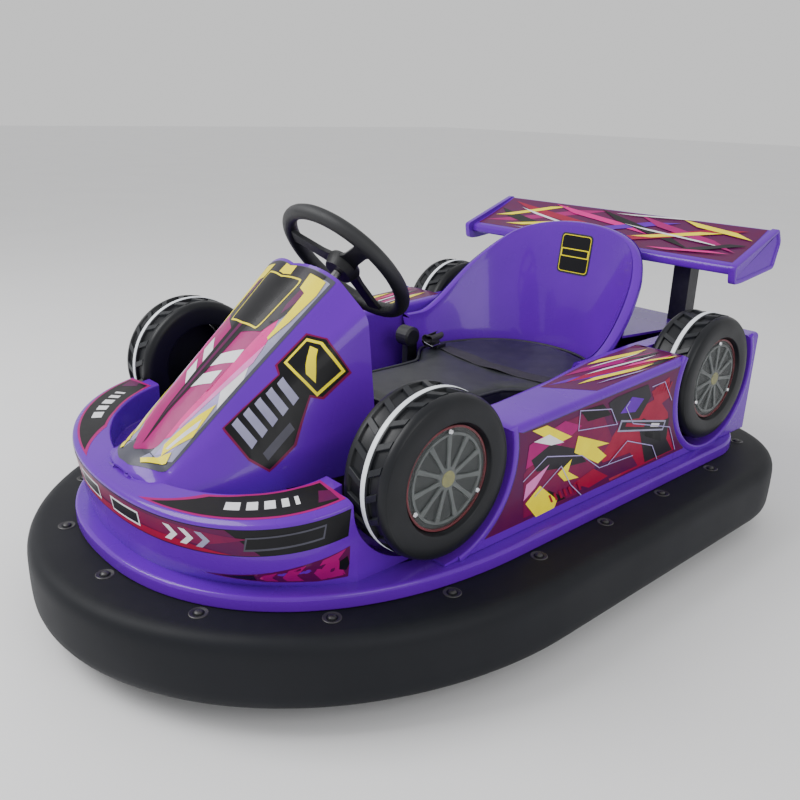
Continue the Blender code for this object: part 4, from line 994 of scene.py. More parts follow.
def make_show_wheel(end, centre_y, side):
    name = end + "_" + hand(side)
    tyre = make_tyre("tyre_" + name, side, centre_y)
    gather("tyre_" + name, tyre, "car_body", "black_plastic", end + "_tyre_" + hand(side))
    low, high = BAND_X - 0.0055, BAND_X + 0.0055
    profile = [(low, 0.158), (low, 0.1606), (low + 0.001, 0.1612)]
    profile += [(high - 0.001, 0.1612), (high, 0.1606), (high, 0.158)]
    band = ring("light_band_" + name, LIGHT_BAND, side, centre_y, profile)
    dress(band, "car_body", "clear_cover")
    gather("spoke_disc_" + name, make_cover(side, centre_y), "car_body", "black_plastic")
    lens = [(0.0042, 0.0008), (0.0056, 0.060), (0.0092, 0.0985)]
    lens += [(0.0102, 0.0985), (0.0066, 0.060), (0.0052, 0.0008)]
    lens = [(TYRE_FACE - sunk, radius) for sunk, radius in lens]
    clear = turned("clear_lens_" + name, lens, CLEAR, (0, centre_y, HUB_Z), (side, 0, 0), 96)
    dress(clear, "car_body", "clear_cover", end + "_wheel_cover_" + hand(side))


for side in (1, -1):
    make_show_wheel("front", FRONT_Y, side)
    make_show_wheel("rear", REAR_Y, side)
print("four show wheels at height", HUB_Z)


# %% [markdown]
# ## The seat
# The bucket is a thick-walled half ring whose rim climbs towards the back. Its wall leans
# out, so every angle gets a base point and a rim point, and a round bead joins the two skins.

# %% Shape of the seat shell
SEAT_Y, SEAT_FOOT_Z, SEAT_LOW_Z, SEAT_WALL = 0.265, 0.388, 0.136, 0.032
SEAT_BASE = (0.256, 0.600, 2.2)
SEAT_RIM = (0.290, 0.640, 3.0)


def seat_curve(half, back, power, angle):
    across = math.copysign(abs(math.sin(angle)) ** (2 / power), angle)
    return Vector((half * across, SEAT_Y + (back - SEAT_Y) * abs(math.cos(angle)) ** (2 / power)))


def seat_rim_z(x, y):
    arc = max(1 - (x / 0.256) ** 2, 0) * ease((y - 0.5) / 0.1)
    return 0.470 + 0.216 * ease((y - 0.310) / 0.330) + 0.054 * arc


def seat_row(angle):
    base, rim = seat_curve(*SEAT_BASE, angle), seat_curve(*SEAT_RIM, angle)
    step = 0.01
    ahead = seat_curve(*SEAT_RIM, min(angle + step, math.pi / 2))
    along = (ahead - seat_curve(*SEAT_RIM, max(angle - step, -math.pi / 2))).normalized()
    out = Vector((-along.y, along.x))
    if abs(angle) > math.pi / 2 - 0.02:
        out = Vector((math.copysign(1, angle), 0))
    top = seat_rim_z(rim.x, rim.y)
    low, high = (*base, SEAT_FOOT_Z), (*rim, top - 0.014)
    outer_low, outer_high = base + out * SEAT_WALL, rim + out * SEAT_WALL
    return rounded(
        [
            ((*base, SEAT_LOW_Z), 0),
            (low, 0.03),
            (high, 0.012),
            ((*(rim + out * 0.003), top), 0.012),
            ((*(rim + out * 0.029), top), 0.012),
            ((*outer_high, top - 0.014), 0.012),
            ((*outer_low, SEAT_FOOT_Z), 0.03),
            ((*outer_low, SEAT_LOW_Z), 0),
        ],
        steps=6,
    )


def make_seat():
    rows = [seat_row(math.pi * (i / 120 - 0.5)) for i in range(121)]
    return dress(skin("seat_shell_skin", rows, GELCOAT), "car_body", "gelcoat", "seat_shell")


seat = make_seat()
print("seat", len(seat.data.polygons), "faces")


# %% [markdown]
# ## Wing, end plates and posts
# The wing is one thick curved board. The end plates have a raised rim all round, which is how
# a moulding gets its stiffness. The posts are plain strips and keep their shape.

# %% The wing board
WING_HALF, WING_Y, CHORD = 0.446, 0.677, 0.191
WING_Z, WING_RISE, WING_THICK = 0.681, 0.078, 0.026


def wing_z(y):
    return WING_Z + WING_RISE * (y - WING_Y) / CHORD


def wing_row(x):
    path = []
    for i in range(17):
        y = blend(WING_Y, WING_Y + CHORD, i / 16)
        path.append((y, wing_z(y) - 0.004 * math.sin(math.pi * i / 16)))
    under = [(y, z - WING_THICK * (1 - 0.3 * (y - WING_Y) / CHORD)) for y, z in reversed(path)]
    corners = [(path[0], 0.011)] + [(p, 0) for p in path[1:-1]] + [(path[-1], 0.008)]
    corners += [(under[0], 0.006)] + [(p, 0) for p in under[1:-1]] + [(under[-1], 0.011)]
    return [(x, p.x, p.y) for p in rounded(corners, 6)]


wing_rows = [wing_row(blend(-WING_HALF, WING_HALF, i / 40)) for i in range(41)]
wing = dress(skin("wing_board", wing_rows, GELCOAT), "car_body", "gelcoat", "rear_wing")


# %% The end plates
def shrink(path, inset):
    """Moves a closed path of (y, z) points inwards."""
    moved = []
    for i, here in enumerate(path):
        along = (path[(i + 1) % len(path)] - path[i - 1]).normalized()
        moved.append(Vector((here.x - along.y * inset, here.y + along.x * inset)))
    return moved


def make_end_plate(side):
    corners = [
        (-0.020, 0.006, 0.010), (-0.012, -0.041, 0.012), (0.024, -0.041, 0.010),
        (0.196, -0.021, 0.012), (0.216, 0.047, 0.010), (0.194, 0.085, 0.010),
    ]
    path = rounded([((WING_Y + y, WING_Z - 0.003 + z), 1.1 * r) for y, z, r in corners], 6)
    rows = []
    for x, inset in (
        (0.4463, 0.003), (0.4463, 0.0), (0.4500, 0.0), (0.4610, 0.0), (0.4636, 0.0010),
        (0.4643, 0.0040), (0.4643, 0.0085), (0.4630, 0.0105), (0.4600, 0.0118), (0.4596, 0.0150),
    ):
        rows.append([(side * x, y, z) for y, z in shrink(path, inset)])
    name = hand(side)
    plate = skin("end_plate_" + name, rows, GELCOAT, sharp=45)
    return dress(plate, "car_body", "gelcoat", "wing_endplate_" + name)


for side in (1, -1):
    make_end_plate(side)
print("wing from", round(WING_Y, 3), "to", round(WING_Y + CHORD, 3))


# %% [markdown]
# ## Plain nodes that stay
# Pieces that are simple in real life keep their plain shape. They get a small bevel, so that
# their edges catch light, and one of the finishes above.

# %% Finish the plain pieces
SOFT_EDGE = 0.0012


def keep_node(name, material, edge, segments=2):
    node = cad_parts[name]
    node.data.materials.clear()
    node.data.materials.append(material)
    if edge:
        bevel = node.modifiers.new("soft edge", "BEVEL")
        bevel.width, bevel.segments, bevel.limit_method = edge, segments, "ANGLE"
        bevel.angle_limit = math.radians(40)
    node.data.shade_smooth()
    node.data.set_sharp_from_angle(angle=math.radians(35))


for title, material in {
    "rear_deck": GELCOAT,
    "wing_post_left": BLACK_PLASTIC,
    "wing_post_right": BLACK_PLASTIC,
    "chassis_frame": BLACK_STEEL,
    "floor_pan": BLACK_STEEL,
    "turntable_plate": BLACK_STEEL,
    "drive_fork": BLACK_STEEL,
    "rear_wheel_bracket_left": BLACK_STEEL,
    "rear_wheel_bracket_right": BLACK_STEEL,
    "steering_column": BLACK_STEEL,
    "steering_shaft": BARE_STEEL,
    "drive_motor": BATTERY_CASE,
    "battery": BATTERY_CASE,
    "accelerator_pedal": BLACK_STEEL,
    "drive_wheel_tyre": ROAD_RUBBER,
    "drive_wheel_hub": BARE_STEEL,
    "rear_road_wheel_left_tyre": ROAD_RUBBER,
    "rear_road_wheel_right_tyre": ROAD_RUBBER,
    "rear_road_wheel_left_hub": BARE_STEEL,
    "rear_road_wheel_right_hub": BARE_STEEL,
    "seat_base": GELCOAT,
    "belt_retractor": BLACK_PLASTIC,
}.items():
    thin = title.endswith(("hub", "tyre", "shaft", "pan", "frame", "base"))
    keep_node(title, material, 0.0 if thin else SOFT_EDGE)
print("plain nodes finished")


# %% [markdown]
# ## The steering wheel
# The rim is foam over steel, a little oval in section. Three flat spokes meet at a hub with a
# ring of bolts. Everything is drawn in the plane of the wheel, which leans back at the driver.

# %% The plane of the wheel
WHEEL_CENTRE = Vector((0, -0.203, 0.711))
LEAN = math.radians(40.7)
AXIS = Vector((0, math.cos(LEAN), math.sin(LEAN)))
WHEEL_UP = Vector((0, -math.sin(LEAN), math.cos(LEAN)))
WHEEL_SIDE = Vector((1, 0, 0))
RIM_R, RIM_TUBE_R = 0.153, 0.0164
SPOKE_DEGREES = (30, 150, 270)


def on_wheel(across, up, out):
    return WHEEL_CENTRE + WHEEL_SIDE * across + WHEEL_UP * up + AXIS * out


# %% Rim with moulded grips
def make_rim():
    rows = []
    for i in range(144):
        angle = math.tau * i / 144
        ripple = 0.0007 * max(math.cos(48 * angle), 0) if math.sin(angle) < 0.75 else 0
        row = []
        for j in range(20):
            turn = math.tau * j / 20
            inner = math.cos(turn) < 0
            radius = RIM_R + (RIM_TUBE_R - (ripple if inner else 0)) * math.cos(turn)
            across, up = radius * math.cos(angle), radius * math.sin(angle)
            row.append(on_wheel(across, up, RIM_TUBE_R * math.sin(turn)))
        rows.append(row)
    return skin("wheel_rim", rows, FOAM, wrap_rows=True)


# %% Spokes, hub and bolts
def make_spoke_plate(degrees):
    angle = math.radians(degrees)
    out = Vector((math.cos(angle), math.sin(angle)))
    across = Vector((-math.sin(angle), math.cos(angle)))
    rows = []
    for depth, inset in ((-0.0108, 0.001), (-0.0098, 0.0), (-0.0022, 0.0), (-0.0012, 0.001)):
        row = []
        for reach, wide in ((0.020, 0.027), (0.055, 0.0185), (0.120, 0.0175), (0.147, 0.022)):
            row.append((reach, wide - inset))
        row += [(reach, -wide) for reach, wide in reversed(row)]
        points = [out * reach + across * wide for reach, wide in row]
        rows.append([on_wheel(p.x, p.y, depth) for p in points])
    return skin("spoke_plate", rows, BLACK_PLASTIC)


def around_wheel(degrees, reach):
    angle = math.radians(degrees)
    return on_wheel(reach * math.cos(angle), reach * math.sin(angle), 0)


def make_steering_wheel():
    """Each profile is (height over the wheel's plane, radius)."""
    hub = [(-0.029, 0.001), (-0.029, 0.033), (-0.012, 0.040), (-0.003, 0.041)]
    hub += [(0.003, 0.037), (0.004, 0.020), (0.0045, 0.001)]
    cap = [(0.003, 0.001), (0.003, 0.0165), (0.0052, 0.0150), (0.0058, 0.001)]
    head = [(0.001, 0.0008), (0.001, 0.0042), (0.0056, 0.0042), (0.0064, 0.0034)]
    head += [(0.0062, 0.0020), (0.0045, 0.0016), (0.0045, 0.0004)]
    eyelet = [(-0.0014, 0.0090), (-0.0006, 0.0086), (-0.0006, 0.0062)]
    eyelet += [(-0.0030, 0.0058), (-0.0030, 0.0090)]
    parts = [
        make_rim(),
        turned("wheel_hub", hub, BLACK_PLASTIC, WHEEL_CENTRE, AXIS, 48),
        turned("hub_cap", cap, BLACK_STEEL, WHEEL_CENTRE, AXIS, 40),
    ]
    parts += [make_spoke_plate(degrees) for degrees in SPOKE_DEGREES]
    for k in range(6):
        parts.append(turned("bolt", head, CHROME, around_wheel(60 * k, 0.0285), AXIS, 18))
    for degrees in SPOKE_DEGREES:
        place = around_wheel(degrees, 0.118)
        parts.append(turned("eyelet", eyelet, BLACK_STEEL, place, AXIS, 24, closed=True))
    return gather("steering_wheel_dressed", parts, "steering", "foam", "steering_wheel")


make_steering_wheel()
print("steering wheel at", tuple(round(v, 3) for v in WHEEL_CENTRE))


# %% [markdown]
# ## The cushion
# The cushion's swell is simulated rather than drawn. A cloth skin starts just inside the
# plain cushion and is blown up by a low pressure, so it tightens over its edges as a foam
# filling would make it. The piping round its edge follows afterwards.

# %% Outline of the cushion
CUSHION_NOSE, CUSHION_HALF, CUSHION_CORNER = 0.159, 0.252, 0.045
CUSHION_FRONT_Y, CUSHION_REAR_Y = -0.130, 0.594


def cushion_outline(inset):
    nose, half, corner = CUSHION_NOSE - inset, CUSHION_HALF - inset, CUSHION_CORNER
    middle_x, middle_y = nose - corner, CUSHION_FRONT_Y + inset + corner
    left = []
    for i in range(9):
        turn = math.pi / 2 * i / 8
        left.append((middle_x + corner * math.sin(turn), middle_y - corner * math.cos(turn)))
    left += [(nose, blend(-0.06, 0.110, i / 4)) for i in range(5)]
    for i in range(1, 9):
        left.append((nose + (half - nose) * ease(i / 8), 0.150 + 0.135 * i / 8))
    start = left[-1][1]
    for i in range(1, 25):
        turn, power = math.pi / 2 * (1 - i / 24), 2 / 2.2
        x = half * math.sin(turn) ** power if i < 24 else 0.0
        left.append((x, start + (CUSHION_REAR_Y - inset - start) * math.cos(turn) ** power))
    return left + [(-x, y) for x, y in reversed(left[:-1])]


# %% Blow the cushion up
CUSHION_TOP, CUSHION_LOW = 0.388, 0.326


def make_cushion():
    levels = rounded(
        [
            ((0.010, CUSHION_LOW + 0.002), 0),
            ((0.004, CUSHION_LOW + 0.010), 0),
            ((0.004, CUSHION_TOP - 0.004), 0.022),
            ((0.060, CUSHION_TOP - 0.003), 0),
        ],
        steps=5,
        closed=False,
    )
    rows = [[(x, y, z) for x, y in cushion_outline(inset)] for inset, z in levels]
    cushion = skin("cushion", rows, VINYL)
    fine = cushion.modifiers.new("fine", "REMESH")
    fine.mode, fine.voxel_size = "VOXEL", 0.006
    settle(cushion)
    rest = [v.co.copy() for v in cushion.data.vertices]
    cloth = cushion.modifiers.new("skin", "CLOTH").settings
    cloth.use_pressure, cloth.uniform_pressure_force = True, 4.0
    cloth.quality, cloth.mass = 6, 0.4
    cloth.tension_stiffness = cloth.compression_stiffness = 40
    cloth.effector_weights.gravity = 0
    for step in range(1, 21):
        bpy.context.scene.frame_set(step)
    settle(cushion)
    bpy.context.scene.frame_set(1)
    moves = []
    for vertex, start in zip(cushion.data.vertices, rest):
        move = vertex.co - start
        moves.append(move.length)
        if move.length > 0.005:
            vertex.co = start + move.normalized() * 0.005
    print("cushion moved up to", round(max(moves) * 1000, 1), "mm")
    for vertex in cushion.data.vertices:
        vertex.co.z = min(vertex.co.z, CUSHION_TOP + 0.004)
    smooth = cushion.modifiers.new("smooth", "SUBSURF")
    smooth.levels = smooth.render_levels = 1
    settle(cushion).data.shade_smooth()
    return dress(cushion, "car_body", "vinyl", "seat_cushion")


cushion = make_cushion()
print("cushion", len(cushion.data.polygons), "faces")


# %% Piping round its edge
def tube(name, path, radius, material, sides=10):
    """A round tube along a closed path."""
    rows = []
    for i, here in enumerate(path):
        here, before, after = Vector(here), Vector(path[i - 1]), Vector(path[(i + 1) % len(path)])
        along = (after - before).normalized()
        level = along.cross(Vector((0, 0, 1))).normalized()
        up = level.cross(along)
        rows.append(
            [
                here
                + level * (radius * math.cos(math.tau * j / sides))
                + up * (radius * math.sin(math.tau * j / sides))
                for j in range(sides)
            ]
        )
    return skin(name, rows, material, wrap_rows=True)


roll_path = [(x, y, CUSHION_TOP - 0.008) for x, y in cushion_outline(0.006)]
roll = tube("cushion_piping", roll_path, 0.0042, VINYL)
dress(roll, "car_body", "vinyl")


# %% [markdown]
# ## The lap belt
# The belt lies across the cushion, and its slack is folded up by the reel on the far side.
# A strap bends only across its width, so it is drawn as a ribbon along a path.

# %% A flat strap along a path
BELT_LEFT_X, BELT_RIGHT_X, BELT_Y, BELT_SAG = 0.236, -0.176, 0.300, 0.030
BELT_WIDTH, BELT_THICK = 0.046, 0.0018


def strap(name, path, sides, width=BELT_WIDTH):
    """sides holds the direction of the strap's width at each point."""
    rows = []
    for i, (here, side) in enumerate(zip(path, sides)):
        here, side = Vector(here), Vector(side).normalized()
        before, after = Vector(path[max(i - 1, 0)]), Vector(path[min(i + 1, len(path) - 1)])
        lift = side.cross((after - before).normalized()).normalized() * BELT_THICK / 2
        half, edge = side * width / 2, side * BELT_THICK * 0.5
        left, right = here + half, here - half
        row = [left - lift, left + edge * 0.6, left + lift]
        rows.append(row + [right + lift, right - edge * 0.6, right - lift])
    return skin(name, rows, WEBBING, sharp=50)


# %% Where the cushion's surface is
def tree_of(piece):
    shape = bmesh.new()
    shape.from_mesh(piece.data)
    tree = BVHTree.FromBMesh(shape)
    shape.free()
    return tree


def drop_on(tree, x, y, start=1.0):
    hit = tree.ray_cast(Vector((x, y, start)), Vector((0, 0, -1)))[0]
    return hit.z if hit else CUSHION_TOP


# %% The strap across the seat, and the folded slack
FOLDS = ((0.5, 0.3, 0.004), (-0.4, -0.25, 0.011), (0.1, 0.15, 0.018))


def make_fold(k, turn, lean, lift):
    loop, widths = [], []
    for i in range(25):
        a = math.tau * 0.86 * i / 24 + k
        ring_x = -0.205 + 0.016 * math.cos(a) + 0.006 * k
        ring_y = 0.268 + 0.012 * turn + 0.010 * math.sin(a * 2) * lean
        loop.append((ring_x, ring_y, CUSHION_TOP + 0.018 + lift + 0.010 * math.sin(a)))
        widths.append((0.25 * turn, 1, lean))
    return strap("belt_fold", loop, widths, 0.044)


def make_belt():
    tree = tree_of(cushion)
    path, sides = [], []
    for i in range(49):
        t = i / 48
        x = blend(BELT_LEFT_X, BELT_RIGHT_X, t)
        y = BELT_Y - BELT_SAG * math.sin(math.pi * t)
        z = max(drop_on(tree, x, y + s) for s in (-0.022, -0.011, 0, 0.011, 0.022)) + 0.0016
        z += 0.0035 * math.sin(math.pi * t) * (1 + math.sin(19 * t)) / 2
        path.append((x, y, z))
        sides.append((0.18 * math.cos(math.pi * t), 1, 0.05 * math.sin(11 * t)))
    belt = strap("lap_belt", path, sides)
    for part in [belt, *(make_fold(k, *fold) for k, fold in enumerate(FOLDS))]:
        dress(part, "car_body", "webbing")
    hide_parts("belt_webbing")


make_belt()


# %% Plates with rounded corners: the belt's tongue and its latch
def plate_corners(half_x, half_z, corner, steps=6):
    corners = [(half_x, -half_z), (half_x, half_z), (-half_x, half_z), (-half_x, -half_z)]
    return rounded([(c, corner) for c in corners], steps)


def rounded_plate(name, centre, half_x, half_y, corner, thick, material, turn=0.0, tilt=0.0):
    outline = plate_corners(half_x, half_y, corner)
    lie = Matrix.Rotation(turn, 4, "Z") @ Matrix.Rotation(tilt, 4, "Y")
    matrix = Matrix.Translation(centre) @ lie
    rows = []
    for z, inset in ((0, 0.0006), (0.0006, 0), (thick - 0.0006, 0), (thick, 0.0006)):
        shrunk = [(p.x * (1 - inset / half_x), p.y * (1 - inset / half_y)) for p in outline]
        rows.append([matrix @ Vector((x, y, z)) for x, y in shrunk])
    return skin(name, rows, material)


tongue = rounded_plate(
    "belt_tongue", (-0.193, 0.262, 0.4062), 0.016, 0.023, 0.006, 0.003, CHROME, 0.25, 0.3
)
shell = rounded_plate(
    "belt_latch", (-0.197, 0.288, 0.3905), 0.017, 0.020, 0.005, 0.0105, BLACK_PLASTIC, 0.1
)
dress(tongue, "car_body", "bare_steel", "belt_buckle")
dress(shell, "car_body", "black_plastic")
print("belt across", round(BELT_LEFT_X - BELT_RIGHT_X, 3), "m of cushion")


# %% [markdown]
# ## The plate on the seat back
# A thin black plate with a pale yellow outline is let into the seat back. It stays blank.

# %% Seat-back plate
BACK_PLATE_Z = 0.652


def make_back_plate():
    tree = tree_of(seat)
    parts = []
    layers = (
        (0.0540, 0.0565, 0.014, 0.0, BLACK_PLASTIC),
        (0.0495, 0.0520, 0.011, 0.0, INKS["yellow"]),
        (0.0475, 0.0500, 0.010, 0.0, INKS["black"]),
        (0.0475, 0.0120, 0.001, 0.002, INKS["yellow"]),
        (0.0440, 0.0090, 0.001, 0.002, INKS["black"]),
    )
    for k, (half_x, half_z, corner, rise, material) in enumerate(layers):
        points = []
        for p in plate_corners(half_x, half_z, corner):
            start = Vector((p.x, 0.4, BACK_PLATE_Z + rise + p.y))
            hit = tree.ray_cast(start, Vector((0, 1, 0)))[0]
            points.append(hit + Vector((0, -1, 0)) * (0.0012 + 0.0004 * k))
        size = len(points)
        points += [p + Vector((0, 0.0012, 0)) for p in points]
        faces = [tuple(range(size)), tuple(range(size, 2 * size))]
        faces += [(i, (i + 1) % size, (i + 1) % size + size, i + size) for i in range(size)]
        parts.append(make_mesh("back_plate", points, faces, material))
    return gather("back_plate", parts, "car_body", "black_plastic")


make_back_plate()


# %% [markdown]
# ## Stickers
# The printed vinyl is cut shapes laid over each other. Each shape is drawn flat, cut into
# small cells, and every point is then put on the nearest place of the moulding below, a
# fraction of a millimetre above it. Later shapes lie a little higher, so they never flicker.

# %% Cut a flat shape into cells
def cut_cells(polygon, cell):
    shape = bmesh.new()
    shape.faces.new([shape.verts.new((u, v, 0)) for u, v in polygon])
    bmesh.ops.triangulate(shape, faces=shape.faces)
    for axis in (0, 1):
        values = [p[axis] for p in polygon]
        count = int((max(values) - min(values)) / cell[axis])
        for k in range(1, count + 1):
            place, normal = [0, 0, 0], [0, 0, 0]
            place[axis] = min(values) + k * cell[axis]
            normal[axis] = 1
            parts = shape.faces[:] + shape.edges[:] + shape.verts[:]
            bmesh.ops.bisect_plane(shape, geom=parts, plane_co=place, plane_no=normal)
    shape.verts.index_update()
    points = [(v.co.x, v.co.y) for v in shape.verts]
    faces = [tuple(v.index for v in face.verts) for face in shape.faces]
    shape.free()
    return points, faces


# %% Give each shape a level above every earlier shape that it may overlap
def levels_of(polygons):
    boxes = [
        (min(u for u, v in p), max(u for u, v in p), min(v for u, v in p), max(v for u, v in p))
        for p in polygons
    ]
    levels = []
    for k, box in enumerate(boxes):
        under = [
            levels[j]
            for j, other in enumerate(boxes[:k])
            if box[0] < other[1] and other[0] < box[1] and box[2] < other[3] and other[2] < box[3]
        ]
        levels.append(max(under, default=-1) + 1)
    return levels


# %% Lay a set of shapes on a moulding
STICKER_REACH, STICKER_GAP, STICKER_STEP = 0.06, 0.00035, 0.00022


def lay(name, target, place, layers, cell, gap=STICKER_GAP):
    """layers holds (ink, polygon); place turns a flat point into one near the surface."""
    tree = tree_of(target)
    inks, points, faces, picks = [], [], [], []
    levels = levels_of([polygon for ink_name, polygon in layers])
    for level, (ink_name, polygon) in zip(levels, layers):
        if ink_name not in inks:
            inks.append(ink_name)
        flat, cells = cut_cells(polygon, cell)
        base = len(points)
        for u, v in flat:
            near = Vector(place(u, v))
            hit, normal = tree.find_nearest(near, STICKER_REACH)[:2]
            points.append(hit + normal * (gap + STICKER_STEP * level) if hit else near)
        faces += [tuple(base + i for i in face) for face in cells]
        picks += [inks.index(ink_name)] * len(cells)
    mesh = bpy.data.meshes.new(name)
    mesh.from_pydata([tuple(point) for point in points], [], faces)
    for ink_name in inks:
        mesh.materials.append(INKS[ink_name])
    mesh.polygons.foreach_set("material_index", picks)
    mesh.update()
    normals = [tree.find_nearest(point)[1] for point in points]
    for face in mesh.polygons:
        if face.normal.dot(normals[face.vertices[0]]) < 0:
            face.flip()
    mesh.shade_smooth()
    sheet = bpy.data.objects.new(name, mesh)
    bpy.context.scene.collection.objects.link(sheet)
    return dress(sheet, "car_body", "gelcoat")


# %% [markdown]
# The hood's top is described by two numbers: u runs from one shoulder to the other, and v
# from the tip to the driver. The far and the near half carry the same shapes.

# %% Hood top: place and shapes
def on_hood(u, v):
    y = blend(-0.7465, -0.302, v)
    half, height, crown, shoulder, drop, *rest = hood_section(y)
    reach = abs(u)
    x = half * min(reach, 1) + (shoulder - half) * max(reach - 1, 0)
    z = height + crown * (1 - min(reach, 1) ** 2) - drop * max(reach - 1, 0)
    back = hood_lean(y, x, shoulder)
    return math.copysign(x, u), y - back, z - HOOD_SLOPE * back


def both(shapes):
    """Adds the mirror image of each shape."""
    pairs = []
    for ink_name, shape in shapes:
        pairs.append((ink_name, shape))
        pairs.append((ink_name, [(-u, v) for u, v in shape]))
    return pairs


def bent(corners, steps=5):
    """A flat shape with rounded corners; corners holds ((u, v), reach)."""
    return [tuple(p) for p in rounded(corners, steps)]


def plate_shape(low_half, low, high_half, high, reach):
    corners = ((-low_half, low), (-high_half, high), (high_half, high), (low_half, low))
    return bent([(corner, reach) for corner in corners])


def make_hood_stickers():
    field = [((-0.99, 0.10), 0.1), ((-0.99, 0.99), 0.02), ((0.99, 0.99), 0.02)]
    field += [((0.99, 0.10), 0.1), ((0.62, 0.012), 0.3), ((-0.62, 0.012), 0.3)]
    shield = [((0.0, 0.055), 0.12), ((0.46, 0.13), 0.06), ((0.70, 0.66), 0), ((0.52, 0.80), 0)]
    shield += [((-0.52, 0.80), 0), ((-0.70, 0.66), 0), ((-0.46, 0.13), 0.06)]
    rear = [(-0.93, 0.985), (-0.93, 0.74), (-0.55, 0.66), (0, 0.60), (0.55, 0.66)]
    rear += [(0.70, 0.76), (0.80, 0.985)]
    shapes = [("grey", bent(field))]
    shapes += both([
        ("silver", [(0.40, 0.05), (0.93, 0.14), (0.93, 0.97), (0.66, 0.97), (0.66, 0.60),
            (0.40, 0.30)]),
        ("lavender", [(0.52, 0.10), (0.80, 0.16), (0.86, 0.38), (0.60, 0.44)]),
        ("white", [(0.70, 0.42), (0.93, 0.36), (0.93, 0.50), (0.80, 0.56)]),
    ])
    shapes += [("magenta", bent(shield))]
    shapes += both([
        ("pink", [(0.47, 0.16), (0.56, 0.18), (0.80, 0.64), (0.60, 0.79), (0.66, 0.62)]),
        ("rose", [(0.57, 0.22), (0.62, 0.22), (0.86, 0.56), (0.80, 0.64)]),
        ("yellow", [(0.55, 0.15), (0.66, 0.12), (0.93, 0.24), (0.86, 0.37), (0.74, 0.30)]),
        ("white", [(0.64, 0.145), (0.70, 0.15), (0.88, 0.27), (0.84, 0.30)]),
        ("yellow", [(0.42, 0.055), (0.55, 0.045), (0.86, 0.12), (0.80, 0.155)]),
    ])
    shapes += [("charcoal", rear)]
    shapes += both([
        ("plum", [(0.60, 0.93), (0.70, 0.96), (0.74, 0.86), (0.62, 0.76), (0.58, 0.80)]),
        ("yellow", [(0.52, 0.965), (0.86, 0.965), (0.90, 0.90), (0.86, 0.76), (0.78, 0.655),
            (0.74, 0.66), (0.72, 0.80), (0.70, 0.88), (0.56, 0.89)]),
        ("white", [(0.12, 0.50), (0.54, 0.57), (0.56, 0.51), (0.12, 0.44)]),
        ("white", [(0.10, 0.40), (0.47, 0.46), (0.48, 0.40), (0.09, 0.34)]),
    ])
    shapes += [
        ("black", [(0.0, 0.10), (0.035, 0.16), (0.15, 0.42), (0.19, 0.76), (-0.19, 0.76),
            (-0.15, 0.42), (-0.035, 0.16)]),
        ("plum", [(-0.035, 0.30), (0.0, 0.20), (0.035, 0.30), (0.05, 0.70), (-0.05, 0.70)]),
        ("yellow", [(-0.17, 0.935), (-0.15, 0.985), (0.15, 0.985), (0.17, 0.935)]),
        ("yellow", plate_shape(0.45, 0.655, 0.50, 0.925, 0.05)),
        ("black", plate_shape(0.425, 0.663, 0.475, 0.917, 0.045)),
    ]
    return lay("hood_stickers", hood, on_hood, shapes, cell=(0.08, 0.016), gap=0.0006)


hood_stickers = make_hood_stickers()
print("hood stickers", len(hood_stickers.data.polygons), "faces")


# %% [markdown]
# Each side of the hood carries one slanted badge. It is plain and angular: a dark field with
# a wine edge, a row of silver bars and a gold outline, with no letters.

# %% Hood side badge
def on_hood_side(side):
    def place(u, v):
        """u is the height above the ground and v the distance along the car."""
        half, height, crown, shoulder, drop, foot, knee, low = hood_section(v)
        t = (height - drop - u) / max(height - drop - knee, 1e-6)
        return side * blend(shoulder, foot, min(max(t, 0), 1)), v, u

    return place


def badge_shapes():
    """Every corner is first (share along the badge, share across it)."""
    start, along = Vector((0.402, -0.560)), Vector((0.150, 0.192))
    across = Vector((0.062, -0.048))
    outline = [(-0.04, 0.0), (0.02, 0.85), (0.62, 0.95), (0.66, 1.30), (1.02, 1.42), (1.10, 0.75)]
    outline += [(1.04, -0.35), (0.72, -0.30), (0.66, -0.05), (0.30, -0.55), (0.0, -0.50)]
    inner = [(-0.02, 0.02), (0.035, 0.80), (0.63, 0.90), (0.675, 1.24), (1.01, 1.35), (1.085, 0.74)]
    inner += [(1.03, -0.28), (0.73, -0.24), (0.67, 0.01), (0.29, -0.49), (0.015, -0.45)]
    shapes = [("wine", outline), ("black", inner)]
    for k in range(5):
        a = 0.045 + 0.118 * k
        bar = [(a, 0.10), (a + 0.045, 0.72), (a + 0.115, 0.76), (a + 0.075, 0.13)]
        shapes.append(("silver", bar))
    shapes += [
        ("grey", [(0.06, -0.30), (0.075, -0.12), (0.40, -0.10), (0.385, -0.28)]),
        ("yellow", [(0.70, -0.14), (0.72, 1.14), (0.99, 1.26), (1.05, 0.75), (1.01, -0.20)]),
        ("black", [(0.725, -0.07), (0.742, 1.07), (0.972, 1.17), (1.022, 0.74), (0.987, -0.12)]),
        ("yellow", [(0.77, 0.10), (0.77, 0.40), (0.96, 0.96), (0.98, 0.66)]),
    ]
    return [
        (ink_name, [tuple(start + along * a + across * b) for a, b in shape])
        for ink_name, shape in shapes
    ]


for side in (1, -1):
    title = "hood_badge_" + hand(side)
    lay(title, hood, on_hood_side(side), badge_shapes(), cell=(0.007, 0.007))


# %% [markdown]
# The nose carries three bands of vinyl: one on the ledge, one round the leaning band, and a
# pair of long crescents low on each side. They are drawn along the same station share that
# the nose skin was built with.

# %% Nose stickers
def on_ledge(u, v):
    """u is the station share, v runs from the lip to the well."""
    edge, ledge = nose_plan("edge", u), nose_plan("ledge", u)
    point = edge.lerp(ledge, blend(0.17, 0.95, v))
    return point.x, point.y, nose_top(point.y)


